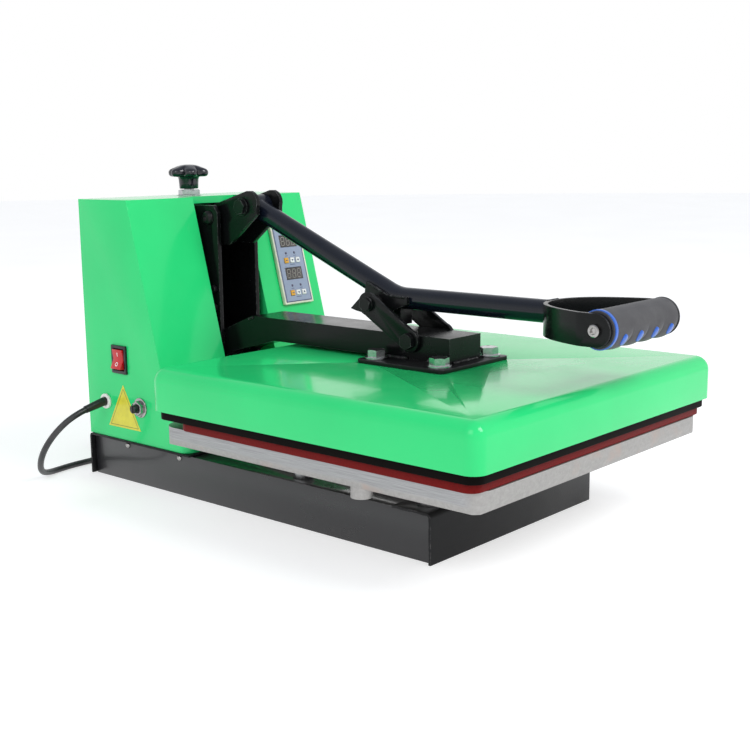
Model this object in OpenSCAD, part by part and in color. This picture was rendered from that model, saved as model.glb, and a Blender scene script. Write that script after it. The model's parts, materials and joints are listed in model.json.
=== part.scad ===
// Clamshell heat press with a toggle handle, modelled closed.
// Millimetres, +Z up, operator at -Y, origin at the middle of the footprint.

/* [Base] */
// Width of the base across its cross channels
base_w = 268; // [260:1:280]
// Height of the base
base_h = 48; // [44:1:54]
// Front face of the base
base_front = -187; // [-192:1:-182]
// Back face of the base
base_back = 318; // [316:1:320]
// Thickness of the base steel
base_t = 2.5; // [2:0.5:3]

/* [Heating press] */
// Width and depth of the pressed cover
cover_size = 404; // [400:1:410]
// Middle of both platens, front to back
platen_mid = -86; // [-88:1:-84]
// Width of both platens
platen_w = 396; // [380:1:398]
// Depth of both platens
platen_d = 396; // [380:1:398]
// Underside of the lower platen
table_z = 77.2; // [76:0.2:80]
// Thickness of the lower platen
table_t = 18.8; // [16:0.2:20]
// Thickness of the silicone pad
pad_t = 8; // [6:1:9]
// Underside of the cover
cover_z = 113; // [112:1:115]
// Height of the cover
cover_h = 43; // [42:1:44]
// Radius of the cover's edges and corners
cover_r = 14; // [10:1:18]

/* [Housing] */
// Width of the housing
housing_w = 264; // [260:1:266]
// Top of the housing
housing_top = 315; // [312:1:318]
// Front of the housing's top
wing_front = 232; // [230:1:234]
// Slope of the wings' front faces, depth per height
wing_slope = 0.26; // [0.24:0.01:0.28]
// Width of the bay between the wings
bay_w = 78; // [76:1:80]

/* [Linkage] */
// Arm hinge, front to back
arm_y = 219; // [217:1:221]
// Arm hinge, height
arm_z = 143; // [142:1:145]
// Handle pivot, front to back
head_y = 171; // [169:1:173]
// Handle pivot, height
head_z = 304.8; // [303:0.2:306]
// Upper pivot of the toggle link, front to back
link_y = -22; // [-23:0.5:-21]
// Upper pivot of the toggle link, height
link_z = 212; // [211:0.5:213]
// Lower pivot of the toggle link, front to back
toggle_y = -76; // [-77:0.5:-75]
// Lower pivot of the toggle link, height
toggle_z = 179; // [178:0.5:180]

/* [Handle] */
// Diameter of the handle tube
tube_d = 22; // [20:1:24]
// Height of the handle tube's level part
tube_z = 217; // [216:0.5:218]
// Grip axis, front to back
grip_y = -306; // [-308:1:-304]
// Grip axis, height
grip_z = 214; // [212:1:216]
// Diameter of the grip
grip_d = 35; // [32:1:36]
// Length of the grip
grip_l = 115; // [108:1:118]

/* [Hidden] */
$fn = 64;

// clearances
soft_gap = 0.3;
fit_gap = 0.05;

// base
rail_x = base_w / 2 - 5;
rail_h = base_h - base_t;
rail_flange = 40;
rail_foot = 22;
deck_front = 142;
front_flange = 45;
post_spread = 110;
post_rows = [platen_mid - 80, platen_mid + 80];
bar_d = 36;
sheet_bend = 5;
post_d = 20;
screw_rows = [163, 253];

// platens and cover
plate_r = 20;
plate_w = 382;
plate_d = 395;
plate_mid = -83.5;
pad_w = 390;
pad_d = 362;
pad_mid = -99;
boss_x = 172;
boss_y = -54;
boss_h = 13;
table_top = table_z + table_t;
pad_top = table_top + pad_t;
platen_z = pad_top + soft_gap;
platen_t = 15;
platen_top = platen_z + platen_t;
cover_top = cover_z + cover_h;
cover_t = 2;
cover_mid = platen_mid;
element_d = 8;
element_z = platen_top + element_d / 2;

// housing
sheet = 1.5;
side_x = housing_w / 2;
bay_x = bay_w / 2;
shelf_z = 126;
box_front = 147;
box_r = 12;
bridge_front = 250;
housing_back = base_back;
wing_angle = atan(wing_slope);
function wing_y(z) = wing_front - (housing_top - z) * wing_slope;

// tower and pressure head
tower_x = 25.5;
tower_t = 5;
tower_front = 201;
tower_back = 309;
tower_top = 306;
screw_y = 284;
screw_d = 12;
ear_x = 15;
ear_t = 5;
guide_y = [216, 262];
guide_z = 292;
guide_travel = 5;

// arm and link
arm_w = 50;
arm_top = 185;
arm_bottom = 160;
arm_front = -124;
arm_wall = 3;
mount_size = 110;
mount_t = 4;
mount_y = -83;
mount_pitch = 80;
link_x = 25.7;
link_t = 4;
pivot_d = 12;

// handle
bend_y = -38;
bend_r = 60;
lug_x = 11.2;
lug_t = 4;
tube_front = -224;
fork_t = 4;
fork_h = 29;
fork_x = grip_l / 2 + fork_t;
fork_back = tube_front;

// control panel, on the slanted face of the right wing
panel_x = 90;
panel_z = 230;
panel_w = 48;
panel_h = 96;
panel_depth = 5;
button_pitch = 9.4;
button_size = 6.4;
button_travel = 0.6;
group_v = [0, 39.5];
display_v = -11.2;
lamp_v = -25.8;
button_v = -34.7;

// fittings on the left side
switch_y = 255.5;
switch_z = 139.5;
fuse_y = 222.5;
fuse_z = 89;
cord_y = 284;
cord_z = 89;
cord_d = 7;
relief_l = 26;
relief_d = 9.8;
relief_droop = 12;

// route of the power cord from the strain relief to its coil behind the press
cord_points = [[-154.5, 284, 85.1], [-162, 284, 83.4], [-172, 284.6, 80.2],
    [-183, 287, 74.5], [-192, 291.5, 66], [-198.5, 298, 55.5], [-202, 305.5, 44],
    [-202.5, 313.5, 32], [-199.5, 321.5, 21], [-193.5, 329.5, 12.5], [-185, 336.5, 7],
    [-174, 342.5, 4.3], [-161, 347, 3.5], [-146, 350, 3.5], [-130, 351.7, 3.5],
    [-112, 352, 3.5], [-90, 352, 3.5], [-66, 352, 3.5], [-42, 352, 3.5]];
coil_x = -15;
coil_y = 392;
coil_r = 40;
coil_wide = 14;
coil_high = 28.5;
plug_y = 347;
tail_points = [[8, 347.8, 12], [18, 347.2, 8.6], [28, 347, 6.4], [38, 347, 6.2],
    [47, 347, 8], [56, 347, 11]];
plug_x = 56;

// ---------- helpers ----------

// Places children at each side, mirrored about the middle plane
module both_sides() {
    children();
    mirror([1, 0, 0]) children();
}

// Extrudes a side profile given as [y, z] from x = from to x = to
module across(from, to) {
    translate([from, 0, 0])
        rotate([90, 0, 90])
            linear_extrude(to - from) children();
}

// Cylinder along X
module rod_x(d, from, to, y, z) {
    translate([from, y, z])
        rotate([0, 90, 0])
            cylinder(d = d, h = to - from);
}

// Flat outline with round corners
module round_rect(w, d, r) {
    square([w - 2 * r, d], center = true);
    square([w, d - 2 * r], center = true);
    for (x = [-1, 1], y = [-1, 1])
        translate([x * (w / 2 - r), y * (d / 2 - r)])
            circle(r);
}

// Box with round vertical edges and a round top edge, base at z = 0
module pillow(w, d, h, r) {
    linear_extrude(h - r)
        round_rect(w, d, r);
    linear_extrude(h)
        square([w - 2 * r, d - 2 * r], center = true);
    for (y = [-1, 1])
        translate([-w / 2 + r, y * (d / 2 - r), h - r])
            rotate([0, 90, 0])
                cylinder(r = r, h = w - 2 * r);
    for (x = [-1, 1])
        translate([x * (w / 2 - r), d / 2 - r, h - r])
            rotate([90, 0, 0])
                cylinder(r = r, h = d - 2 * r);
    for (x = [-1, 1], y = [-1, 1])
        translate([x * (w / 2 - r), y * (d / 2 - r), h - r])
            sphere(r);
}

// Hexagon head with a flat washer, seated at z = 0
module hex_head(flats, h, washer) {
    if (washer > 0)
        cylinder(d = washer, h = 2);
    translate([0, 0, washer > 0 ? 2 : 0])
        cylinder(d = flats / cos(30), h = h, $fn = 6);
}

// Low domed screw head, seated at z = 0
module dome_head(d, h) {
    r = (d * d / 4 + h * h) / (2 * h);
    intersection() {
        translate([0, 0, h - r]) sphere(r);
        cylinder(d = d + 1, h = h);
    }
}

// Turns a child that points up so that it points to -X (side = -1) or +X (side = 1)
module facing_x(side, y, z, x) {
    translate([side * x, y, z])
        rotate([0, side * 90, 0]) children();
}

// Frame of the control panel: local x across, y up the slope, z out of the face
module on_panel(u, v, out) {
    translate([panel_x, wing_y(panel_z), panel_z])
        rotate([90 - wing_angle, 0, 0])
            translate([u, v, out]) children();
}

// Plate outline of discs joined by straight sides
module strap(a, b, r) {
    dy = b[0] - a[0];
    dz = b[1] - a[1];
    len = sqrt(dy * dy + dz * dz);
    translate(a) circle(r);
    translate(b) circle(r);
    translate(a)
        rotate(atan2(dz, dy))
            translate([0, -r]) square([len, 2 * r]);
}

// ---------- base ----------

// Clearance holes for the lower platen's posts
module post_holes() {
    for (x = [-1, 1], y = post_rows)
        translate([x * post_spread, y, rail_h - base_t - 1])
            cylinder(d = post_d + 1, h = 2 * base_t + 2);
}

module rail(side) {
    color("#2d2d2f")
        mirror([side > 0 ? 1 : 0, 0, 0])
            difference() {
                translate([-rail_x, base_back - sheet_bend, 0])
                    rotate([90, 0, 0])
                        linear_extrude(base_back - base_front - 2 * sheet_bend) {
                            square([base_t, rail_h]);
                            translate([0, rail_h - base_t]) square([rail_flange, base_t]);
                            square([rail_foot, base_t]);
                        }
                post_holes();
            }
}

module base_rail_left() {
    rail(-1);
}

module base_rail_right() {
    rail(1);
}

// Bent angle: an upright web and a flange over the rails
module angle_sheet(depth) {
    r = sheet_bend;
    difference() {
        union() {
            square([base_t, base_h - r]);
            translate([r, base_h - base_t]) square([depth - r, base_t]);
            translate([r, base_h - r]) circle(r);
        }
        translate([r, base_h - r]) circle(r - base_t);
        translate([r, base_h - 2 * r]) square([r, 2 * r - base_t]);
        translate([base_t, base_h - 2 * r]) square([r, r]);
    }
}

module base_channel_front() {
    color("#2d2d2f")
        difference() {
            translate([0, base_front, 0])
                across(-base_w / 2, base_w / 2) angle_sheet(front_flange);
            post_holes();
        }
}

module base_deck() {
    color("#2d2d2f")
        difference() {
            translate([0, base_back, 0])
                across(-base_w / 2, base_w / 2)
                    mirror([1, 0]) angle_sheet(base_back - deck_front);
            translate([-bay_x + 12, tower_front + 30, base_h - 5])
                cube([bay_w - 24, 50, 8]);
        }
}

// Two channels across the rails that carry the lower platen's posts
module base_cross_bars() {
    color("#2d2d2f")
        for (y = post_rows)
            difference() {
                translate([-rail_x + base_t, y - bar_d / 2, base_t + 1])
                    cube([2 * (rail_x - base_t), bar_d, rail_h - 2 * base_t - 1]);
                translate([-rail_x, y - bar_d / 2 + base_t, base_t])
                    cube([2 * rail_x, bar_d - 2 * base_t, rail_h - 3 * base_t]);
                for (x = [-1, 1])
                    translate([x * post_spread, y, base_t])
                        cylinder(d = 9, h = rail_h);
            }
}

module base_screws() {
    color("#8d9094")
        for (side = [-1, 1], y = screw_rows)
            facing_x(side, y, base_h - 6.5, rail_x) dome_head(7, 2.6);
}

// ---------- housing ----------

module side_profile() {
    polygon([[box_front + box_r, base_h], [housing_back, base_h],
        [housing_back, housing_top], [wing_front, housing_top],
        [wing_y(shelf_z), shelf_z], [box_front + box_r, shelf_z]]);
}

module bay_profile() {
    polygon([[wing_y(shelf_z), base_h], [housing_back, base_h],
        [housing_back, housing_top], [wing_front, housing_top],
        [wing_y(shelf_z), shelf_z]]);
}

module box_plan(inset) {
    w = housing_w - 2 * inset;
    r = box_r - inset;
    y0 = box_front + inset;
    translate([0, y0 + r + 20]) square([w, 40], center = true);
    translate([0, y0 + r]) square([w - 2 * r, 2 * r], center = true);
    for (x = [-1, 1])
        translate([x * (w / 2 - r), y0 + r]) circle(r);
}

module lower_box() {
    translate([0, 0, base_h])
        difference() {
            linear_extrude(shelf_z - base_h)
                intersection() {
                    box_plan(0);
                    translate([0, box_front + 20]) square([housing_w, 40], center = true);
                }
            translate([0, 0, -1])
                linear_extrude(shelf_z - base_h - sheet + 1) box_plan(sheet);
        }
}

module slanted_fronts() {
    n = sheet / cos(wing_angle);
    for (side = [-1, 1])
        across(side > 0 ? bay_x : -side_x, side > 0 ? side_x : -bay_x)
            polygon([[wing_front, housing_top], [wing_front + n, housing_top],
                [wing_y(shelf_z - sheet) + n, shelf_z - sheet],
                [wing_y(shelf_z - sheet), shelf_z - sheet]]);
}

module shelf() {
    y0 = box_front + 30;
    translate([-side_x, y0, shelf_z - sheet])
        cube([housing_w, wing_y(shelf_z) + sheet - y0, sheet]);
}

module housing() {
    color("#35c870")
        difference() {
            union() {
                both_sides() across(side_x - sheet, side_x) side_profile();
                both_sides() across(bay_x, bay_x + sheet) bay_profile();
                lower_box();
                shelf();
                slanted_fronts();
                both_sides()
                    translate([bay_x, wing_front, housing_top - sheet])
                        cube([side_x - bay_x, housing_back - wing_front, sheet]);
                translate([-bay_x - 1, bridge_front, housing_top - sheet])
                    cube([bay_w + 2, housing_back - bridge_front, sheet]);
                translate([-bay_x - 1, bridge_front, housing_top - 8])
                    cube([bay_w + 2, sheet, 8]);
                both_sides()
                    translate([side_x - 14, box_front + 40, base_h])
                        cube([14, housing_back - box_front - 60, sheet]);
            }
            translate([0, screw_y, housing_top - 5]) cylinder(d = 30, h = 10);
            on_panel(0, 0, -6) cube([panel_w - 6, panel_h - 6, 20], center = true);
            translate([-side_x - 1, switch_y - 11.2, switch_z - 14.2])
                cube([6, 22.4, 28.4]);
            facing_x(-1, fuse_y, fuse_z, side_x - 4) cylinder(d = 13.6, h = 8);
            facing_x(-1, cord_y, cord_z, side_x - 4) cylinder(d = 12, h = 8);
        }
}

module housing_back_panel() {
    color("#35c870")
        difference() {
            translate([-side_x + 1, housing_back, base_h + 2])
                cube([housing_w - 2, sheet, housing_top - base_h - 3]);
            for (side = [-1, 1], row = [0:6])
                translate([side * 84 - 26, housing_back - 1, 90 + row * 14])
                    cube([52, 4, 4]);
        }
}

module housing_screws() {
    color("#8d9094") {
        for (side = [-1, 1], z = [70, 180, 295])
            translate([side * (side_x - 9), housing_back + sheet, z])
                rotate([-90, 0, 0]) dome_head(6, 1.5);
        for (side = [-1, 1], z = [120, 250])
            translate([side * 48, housing_back + sheet, z])
                rotate([-90, 0, 0]) dome_head(6, 1.5);
    }
}

// ---------- tower ----------

module tower_plate(side) {
    color("#1f2022")
        difference() {
            across(side > 0 ? tower_x : -tower_x - tower_t,
                    side > 0 ? tower_x + tower_t : -tower_x)
                polygon([[tower_front - 8, base_h], [tower_back, base_h],
                    [tower_back, tower_top], [tower_front + 6, tower_top],
                    [tower_front, tower_top - 8], [tower_front, 110],
                    [tower_front - 8, 100]]);
            rod_x(pivot_d + 4 + 2 * fit_gap, -60, 60, arm_y, arm_z);
            for (y = guide_y)
                rod_x(8.4, -60, 60, y, guide_z);
        }
}

module tower_left() {
    tower_plate(-1);
}

module tower_right() {
    tower_plate(1);
}

// Back web and top plate that tie the two tower plates together
module tower_cap() {
    color("#1f2022")
        difference() {
            union() {
                translate([-tower_x, tower_back - tower_t, base_h])
                    cube([2 * tower_x, tower_t, tower_top - base_h]);
                translate([-tower_x - tower_t, 256, tower_top])
                    cube([2 * (tower_x + tower_t), tower_back - 256, 7]);
            }
            translate([0, screw_y, tower_top - 1])
                cylinder(d = screw_d + 2 * fit_gap, h = 12);
        }
}

// Guide bolts of the sliding head and the tower's own bolts
module tower_bolts() {
    color("#1b1b1d") {
        for (y = guide_y)
            rod_x(8.3, -tower_x - tower_t, tower_x + tower_t, y, guide_z);
        for (side = [-1, 1], y = guide_y)
            facing_x(side, y, guide_z, tower_x + tower_t) dome_head(16, 5);
        for (side = [-1, 1], z = [172, 191, 212])
            facing_x(side, tower_front + 8, z, tower_x + tower_t) hex_head(8, 4, 0);
        for (side = [-1, 1], y = [tower_front + 14, tower_back - 20])
            facing_x(side, y, base_h + 14, tower_x + tower_t) hex_head(13, 6, 0);
    }
}

module arm_hinge_shaft() {
    color("#8d9094") {
        rod_x(pivot_d + 4, -tower_x - tower_t - 2, tower_x + tower_t + 2, arm_y, arm_z);
        both_sides()
            facing_x(1, arm_y, arm_z, tower_x + tower_t + 2) cylinder(d = 12, h = 4);
    }
}

module knob_collar() {
    color("#b9bcc0")
        difference() {
            union() {
                translate([0, screw_y, tower_top + 7]) cylinder(d = 26, h = 3.5);
                translate([0, screw_y, tower_top + 10.5])
                    cylinder(d = 21.9, h = 5.5, $fn = 6);
            }
            translate([0, screw_y, tower_top]) cylinder(d = screw_d + 2 * fit_gap, h = 30);
        }
}

// ---------- lower platen ----------

module lower_plate() {
    c = 3.5;
    rise = 9;
    color("#a9a9a6")
        difference() {
            union() {
                translate([0, plate_mid, table_z])
                    intersection() {
                        linear_extrude(table_t)
                            round_rect(plate_w, plate_d, plate_r);
                        across(-plate_w, plate_w)
                            polygon([[-plate_d / 2 + c, 0], [plate_d / 2 - c, 0],
                                [plate_d / 2, rise], [plate_d / 2, table_t],
                                [-plate_d / 2, table_t], [-plate_d / 2, rise]]);
                        rotate([0, 0, 90])
                            across(-plate_d, plate_d)
                                polygon([[-plate_w / 2 + c, 0], [plate_w / 2 - c, 0],
                                    [plate_w / 2, rise], [plate_w / 2, table_t],
                                    [-plate_w / 2, table_t], [-plate_w / 2, rise]]);
                    }
                for (x = [-1, 1], y = post_rows)
                    translate([x * post_spread, y, table_z - 6]) cylinder(d = 34, h = 8);
                for (x = [-1, 1])
                    translate([x * boss_x, platen_mid + boss_y, table_z - boss_h])
                        cylinder(d = 20, h = boss_h + 2);
            }
            for (x = [-1, 1], y = post_rows)
                translate([x * post_spread, y, table_z - 7]) cylinder(d = 8.2, h = 17);
        }
}

// Steel posts and studs between the cross bars and the lower platen
module table_posts() {
    bar_top = rail_h - base_t;
    color("#6f7275")
        for (x = [-1, 1], y = post_rows)
            translate([x * post_spread, y, 0]) {
                translate([0, 0, bar_top]) cylinder(d = post_d, h = table_z - 6 - bar_top);
                translate([0, 0, bar_top - 14]) cylinder(d = 8, h = table_z + 7 - bar_top + 14);
                translate([0, 0, bar_top - base_t - 6.5]) cylinder(d = 15, h = 6.5, $fn = 6);
            }
}

module silicone_pad() {
    color("#c23a32")
        translate([0, pad_mid, table_top])
            linear_extrude(pad_t) round_rect(pad_w, pad_d, 12);
}

// ---------- control panel and electrics ----------

module panel_bezel() {
    color("#ebe6cf")
        difference() {
            union() {
                on_panel(-panel_w / 2, -panel_h / 2, 0)
                    cube([panel_w, panel_h, panel_depth]);
                on_panel(-panel_w / 2 + 3.5, -panel_h / 2 + 3.5, -30)
                    cube([panel_w - 7, panel_h - 7, 31]);
            }
            on_panel(-panel_w / 2 + 2.6, -panel_h / 2 + 2.6, panel_depth - 1.5)
                cube([panel_w - 5.2, panel_h - 5.2, 3]);
            on_panel(-panel_w / 2 + 5, -panel_h / 2 + 5, -28)
                cube([panel_w - 10, panel_h - 10, 40]);
        }
}

module panel_face() {
    color("#8c96b4")
        difference() {
            on_panel(-panel_w / 2 + 2.7, -panel_h / 2 + 2.7, panel_depth - 1.5)
                cube([panel_w - 5.4, panel_h - 5.4, 1.5]);
            for (g = group_v) {
                on_panel(0, g + display_v, 0) cube([27.6, 14.8, 20], center = true);
                for (u = [-1, 1])
                    on_panel(u * 7, g + lamp_v, 0) cylinder(d = 3.3, h = 20);
                for (k = [-1:1])
                    on_panel(k * button_pitch + 0.6, g + button_v, 0)
                        cube([button_size + 0.6, button_size + 0.6, 20], center = true);
            }
        }
}

module panel_displays() {
    color("#3a3430")
        for (g = group_v)
            on_panel(-13.6, g + display_v - 7.2, panel_depth - 4.5) cube([27.2, 14.4, 4.3]);
}

module panel_lamps() {
    color("#4a4a58")
        for (g = group_v, u = [-1, 1])
            on_panel(u * 7, g + lamp_v, panel_depth - 4.5) {
                cylinder(d = 3, h = 4.5);
                translate([0, 0, 4.5]) dome_head(3, 1);
            }
}

module circuit_board() {
    color("#2c6b3f")
        on_panel(-panel_w / 2 + 5.4, -panel_h / 2 + 5.4, panel_depth - 6.1)
            cube([panel_w - 10.8, panel_h - 10.8, 1.6]);
}

// Solid state relay that feeds the heating element, on the back panel
module heater_relay() {
    color("#e9e9e4")
        translate([60, housing_back - 26, 190])
            difference() {
                cube([45, 26, 62]);
                for (x = [9, 36], z = [8, 54])
                    translate([x, -1, z]) rotate([-90, 0, 0]) cylinder(d = 7, h = 5);
            }
}

module panel_button(k, g) {
    on_panel(k * button_pitch + 0.6 - button_size / 2, g + button_v - button_size / 2,
            panel_depth - 3)
        cube([button_size, button_size, 4.2]);
}

module set_button_upper() {
    color("#f0b428") panel_button(-1, group_v[1]);
}

module down_button_upper() {
    color("#f2f2f2") panel_button(0, group_v[1]);
}

module up_button_upper() {
    color("#f2f2f2") panel_button(1, group_v[1]);
}

module set_button_lower() {
    color("#f0b428") panel_button(-1, group_v[0]);
}

module down_button_lower() {
    color("#f2f2f2") panel_button(0, group_v[0]);
}

module up_button_lower() {
    color("#f2f2f2") panel_button(1, group_v[0]);
}

module switch_frame() {
    color("#1c1c1e")
        translate([-side_x, switch_y, switch_z])
            difference() {
                union() {
                    translate([-2.5, -12.8, -15.8]) cube([2.5, 25.6, 31.6]);
                    translate([-1, -11, -14]) cube([26, 22, 28]);
                }
                translate([-4, -9.3, -12.3]) cube([18, 18.6, 24.6]);
                translate([1, 10.9, 0]) rotate([90, 0, 0]) cylinder(d = 4.1, h = 21.8);
            }
}

// Rocker blade with two faces, tilted so that its upper half is pressed in
module rocker() {
    color("#d7202c")
        translate([-side_x, switch_y, switch_z])
            union() {
                rotate([0, 8, 0])
                    translate([0, 8.9, 0])
                        rotate([90, 0, 0])
                            linear_extrude(17.8)
                                polygon([[-6, 10.9], [-3, 0], [-6, -10.9], [5, -10.9], [5, 10.9]]);
                translate([1, 10.6, 0]) rotate([90, 0, 0]) cylinder(d = 4, h = 21.2);
            }
}

module fuse_holder() {
    color("#c9ccd0")
        difference() {
            union() {
                facing_x(-1, fuse_y, fuse_z, side_x) cylinder(d = 22, h = 1.5);
                facing_x(-1, fuse_y, fuse_z, side_x + 1.5) cylinder(d = 17, h = 5, $fn = 6);
                facing_x(-1, fuse_y, fuse_z, side_x - 30) cylinder(d = 13, h = 31);
            }
            facing_x(-1, fuse_y, fuse_z, side_x - 26) cylinder(d = 10.1, h = 40);
        }
}

module fuse_cap() {
    color("#232326")
        facing_x(-1, fuse_y, fuse_z, side_x - 12) {
            cylinder(d = 10, h = 18.6);
            translate([0, 0, 18.6]) cylinder(d = 9, h = 5);
            translate([-4, -1, 23.6]) cube([8, 2, 0.8]);
        }
}

module cord_gland() {
    color("#f2f0e8")
        difference() {
            union() {
                facing_x(-1, cord_y, cord_z, side_x) cylinder(d = 17, h = 3);
                facing_x(-1, cord_y, cord_z, side_x - 8) cylinder(d = 11.8, h = 9);
            }
            facing_x(-1, cord_y, cord_z, side_x - 10) cylinder(d = relief_d, h = 20);
        }
}

// Tapered rubber sleeve that leaves the grommet and droops a little
module strain_relief() {
    color("#1d1d1f")
        difference() {
            union() {
                facing_x(-1, cord_y, cord_z, side_x - 7) cylinder(d = relief_d, h = 11);
                translate([-side_x - 4, cord_y, cord_z])
                    rotate([0, -90 - relief_droop, 0])
                        translate([0, 0, -0.5])
                            cylinder(d1 = relief_d, d2 = cord_d + 1.4, h = relief_l + 0.5);
            }
            translate([-side_x - 4, cord_y, cord_z])
                rotate([0, -90 - relief_droop, 0])
                    translate([0, 0, relief_l - 8]) cylinder(d = cord_d + 0.1, h = 20);
        }
}

// Unit vector
function unit(v) = v / norm(v);

// Direction of the route at point i
function heading(p, i) = unit(p[min(i + 1, len(p) - 1)] - p[max(i - 1, 0)]);

// One ring of the swept tube
function ring(p, i, r, n) =
    let (t = heading(p, i), s = unit(cross(t, [0, 0.2, 1])), u = cross(s, t))
        [for (k = [0:n - 1]) p[i] + r * cos(360 * k / n) * s + r * sin(360 * k / n) * u];

// Round tube swept along the points of a route
module swept_tube(p, d, n) {
    m = len(p);
    points = [for (i = [0:m - 1]) each ring(p, i, d / 2, n)];
    sides = [for (i = [0:m - 2], k = [0:n - 1])
        [i * n + k, i * n + (k + 1) % n, (i + 1) * n + (k + 1) % n, (i + 1) * n + k]];
    caps = [[for (k = [n - 1:-1:0]) k], [for (k = [0:n - 1]) (m - 1) * n + k]];
    polyhedron(points, concat(sides, caps), convexity = 6);
}

module power_cord() {
    color("#1d1d1f") {
        swept_tube(cord_points, cord_d, 10);
        swept_tube(tail_points, cord_d, 10);
    }
}

module cord_coil() {
    color("#1d1d1f")
        translate([coil_x, coil_y, 0])
            rotate_extrude()
                translate([coil_r - coil_wide / 2, 0]) square([coil_wide, coil_high]);
}

// Three-pin plug lying on its back with its pins up
module power_plug() {
    color("#1d1d1f")
        translate([plug_x, plug_y, 0]) {
            translate([24, 0, 0])
                linear_extrude(22) round_rect(48, 46, 8);
            for (y = [-11, 11])
                translate([31, y - 3.2, 22]) cube([4, 6.4, 17.5]);
            translate([11, -2, 22]) cube([8, 4, 22.5]);
        }
}

// ---------- pressure head ----------

module ear_outline() {
    difference() {
        union() {
            polygon([[218, tower_top + 0.5], [head_y - 8, head_z + 17.5],
                [head_y - 14, head_z + 17.5], [head_y - 23, head_z + 6],
                [head_y - 23, head_z - 8], [193, 262], [270, 262], [270, 288],
                [218, tower_top]]);
            translate([head_y - 11, head_z + 4.5]) circle(13);
        }
        translate([head_y, head_z]) circle(d = pivot_d + 2 * fit_gap);
        for (y = guide_y)
            strap([y, guide_z - guide_travel], [y, guide_z + guide_travel], 4.3);
    }
}

// Sliding head: two eared plates joined by a cross block that the screw bears on
module head_block() {
    color("#1f2022")
        difference() {
            union() {
                both_sides() across(ear_x, ear_x + ear_t) ear_outline();
                translate([-ear_x, 228, 262]) cube([2 * ear_x, 24, 18]);
                translate([-ear_x - ear_t, 268, 262]) cube([2 * (ear_x + ear_t), 30, 24]);
            }
            for (y = guide_y)
                across(-30, 30)
                    strap([y, guide_z - guide_travel], [y, guide_z + guide_travel], 4.3);
            translate([0, screw_y, 270]) cylinder(d = screw_d + 2 * fit_gap, h = 40);
        }
}

module handle_pivot_bolt() {
    color("#1b1b1d") {
        rod_x(pivot_d, -ear_x - ear_t - 2.5, ear_x + ear_t + 2.5, head_y, head_z);
        both_sides()
            facing_x(1, head_y, head_z, ear_x + ear_t + 0.2) {
                cylinder(d = 20, h = 1.6);
                translate([0, 0, 1.6]) cylinder(d = 17, h = 3.6, $fn = 6);
            }
    }
}

// Six-lobed hand knob
module pressure_knob() {
    z0 = tower_top + 17;
    lobes = 6;
    color("#26272b")
        translate([0, screw_y, z0])
            difference() {
                union() {
                    cylinder(d1 = 22, d2 = 24, h = 13);
                    translate([0, 0, 13]) cylinder(d = 30, h = 12);
                    for (k = [0:lobes - 1])
                        rotate(360 / lobes * k) {
                            translate([17.8, 0, 13.5]) cylinder(d = 13, h = 11);
                            translate([0, -4, 13.5]) cube([17.8, 8, 11]);
                        }
                    translate([0, 0, 25]) cylinder(d1 = 24, d2 = 17, h = 3);
                }
                translate([0, 0, -1]) cylinder(d = screw_d, h = 17);
            }
}

module pressure_screw() {
    color("#a6a9ad")
        translate([0, screw_y, 270])
            cylinder(d = screw_d, h = tower_top + 17 + 16 - 270);
}

// ---------- handle ----------

// The handle tube: a sloping run, a bend and a level run
module tube_runs() {
    dy = head_y - bend_y;
    dz = head_z - tube_z;
    slope = atan2(dz, dy);
    cut = bend_r * tan(slope / 2);
    translate([0, head_y, head_z])
        rotate([90 + slope, 0, 0])
            cylinder(d = tube_d, h = sqrt(dy * dy + dz * dz) - cut);
    translate([0, bend_y - cut, tube_z])
        rotate([90, 0, 0]) cylinder(d = tube_d, h = bend_y - cut - tube_front);
    translate([0, bend_y - cut, tube_z + bend_r])
        rotate([90, 0, 90])
            rotate([0, 0, -90])
                rotate_extrude(angle = slope)
                    translate([bend_r, 0]) circle(d = tube_d);
}

module handle_tube() {
    color("#202226")
        difference() {
            union() {
                tube_runs();
                rod_x(tube_d + 4, -ear_x + 0.4, ear_x - 0.4, head_y, head_z);
            }
            rod_x(pivot_d + 2 * fit_gap, -30, 30, head_y, head_z);
            rod_x(16 + 2 * fit_gap, -30, 30, link_y, link_z);
        }
}

// Lug plates welded under the bend, with the sleeve eye for the toggle link
module handle_lugs() {
    color("#1b1b1d")
        difference() {
            union() {
                for (side = [-1, 1])
                    across(side > 0 ? lug_x : -lug_x - lug_t, side > 0 ? lug_x + lug_t : -lug_x)
                        polygon([[-6, 222], [-9, 204], [link_y - 4, 199.5],
                            [link_y - 14, 201], [-48, 207], [-62, tube_z - 4],
                            [-62, tube_z + 3], [-36, tube_z + 4], [-8, 233]]);
                difference() {
                    translate([-9, -49, arm_top + 5.5]) cube([18, 10, 20]);
                    tube_runs();
                }
            }
            rod_x(16, -30, 30, link_y, link_z);
        }
}

module link_upper_sleeve() {
    color("#8d9094")
        difference() {
            rod_x(16, -arm_w / 2, arm_w / 2, link_y, link_z);
            rod_x(8, -30, 30, link_y, link_z);
        }
}

// Flat strap bent to a U around the grip, its height along z
function bend_at(t, a, b, c, d) = pow(1 - t, 3) * a + 3 * t * pow(1 - t, 2) * b
    + 3 * t * t * (1 - t) * c + t * t * t * d;

function strap_line(h) = [for (k = [0:24])
    bend_at(k / 24, [fork_x - h, grip_y + 17], [fork_x - h - 8, grip_y + 44],
        [39 - h, fork_back - h], [0, fork_back - h])];

module fork_area(h) {
    half = strap_line(h);
    front = grip_y - 20;
    polygon(concat([[fork_x - h, front]], half,
        [for (k = [23:-1:0]) [-half[k][0], half[k][1]]], [[h - fork_x, front]]));
}

module fork_plan() {
    difference() {
        fork_area(0);
        fork_area(fork_t);
        translate([-100, grip_y - 60]) square([200, 60]);
    }
}

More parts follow.
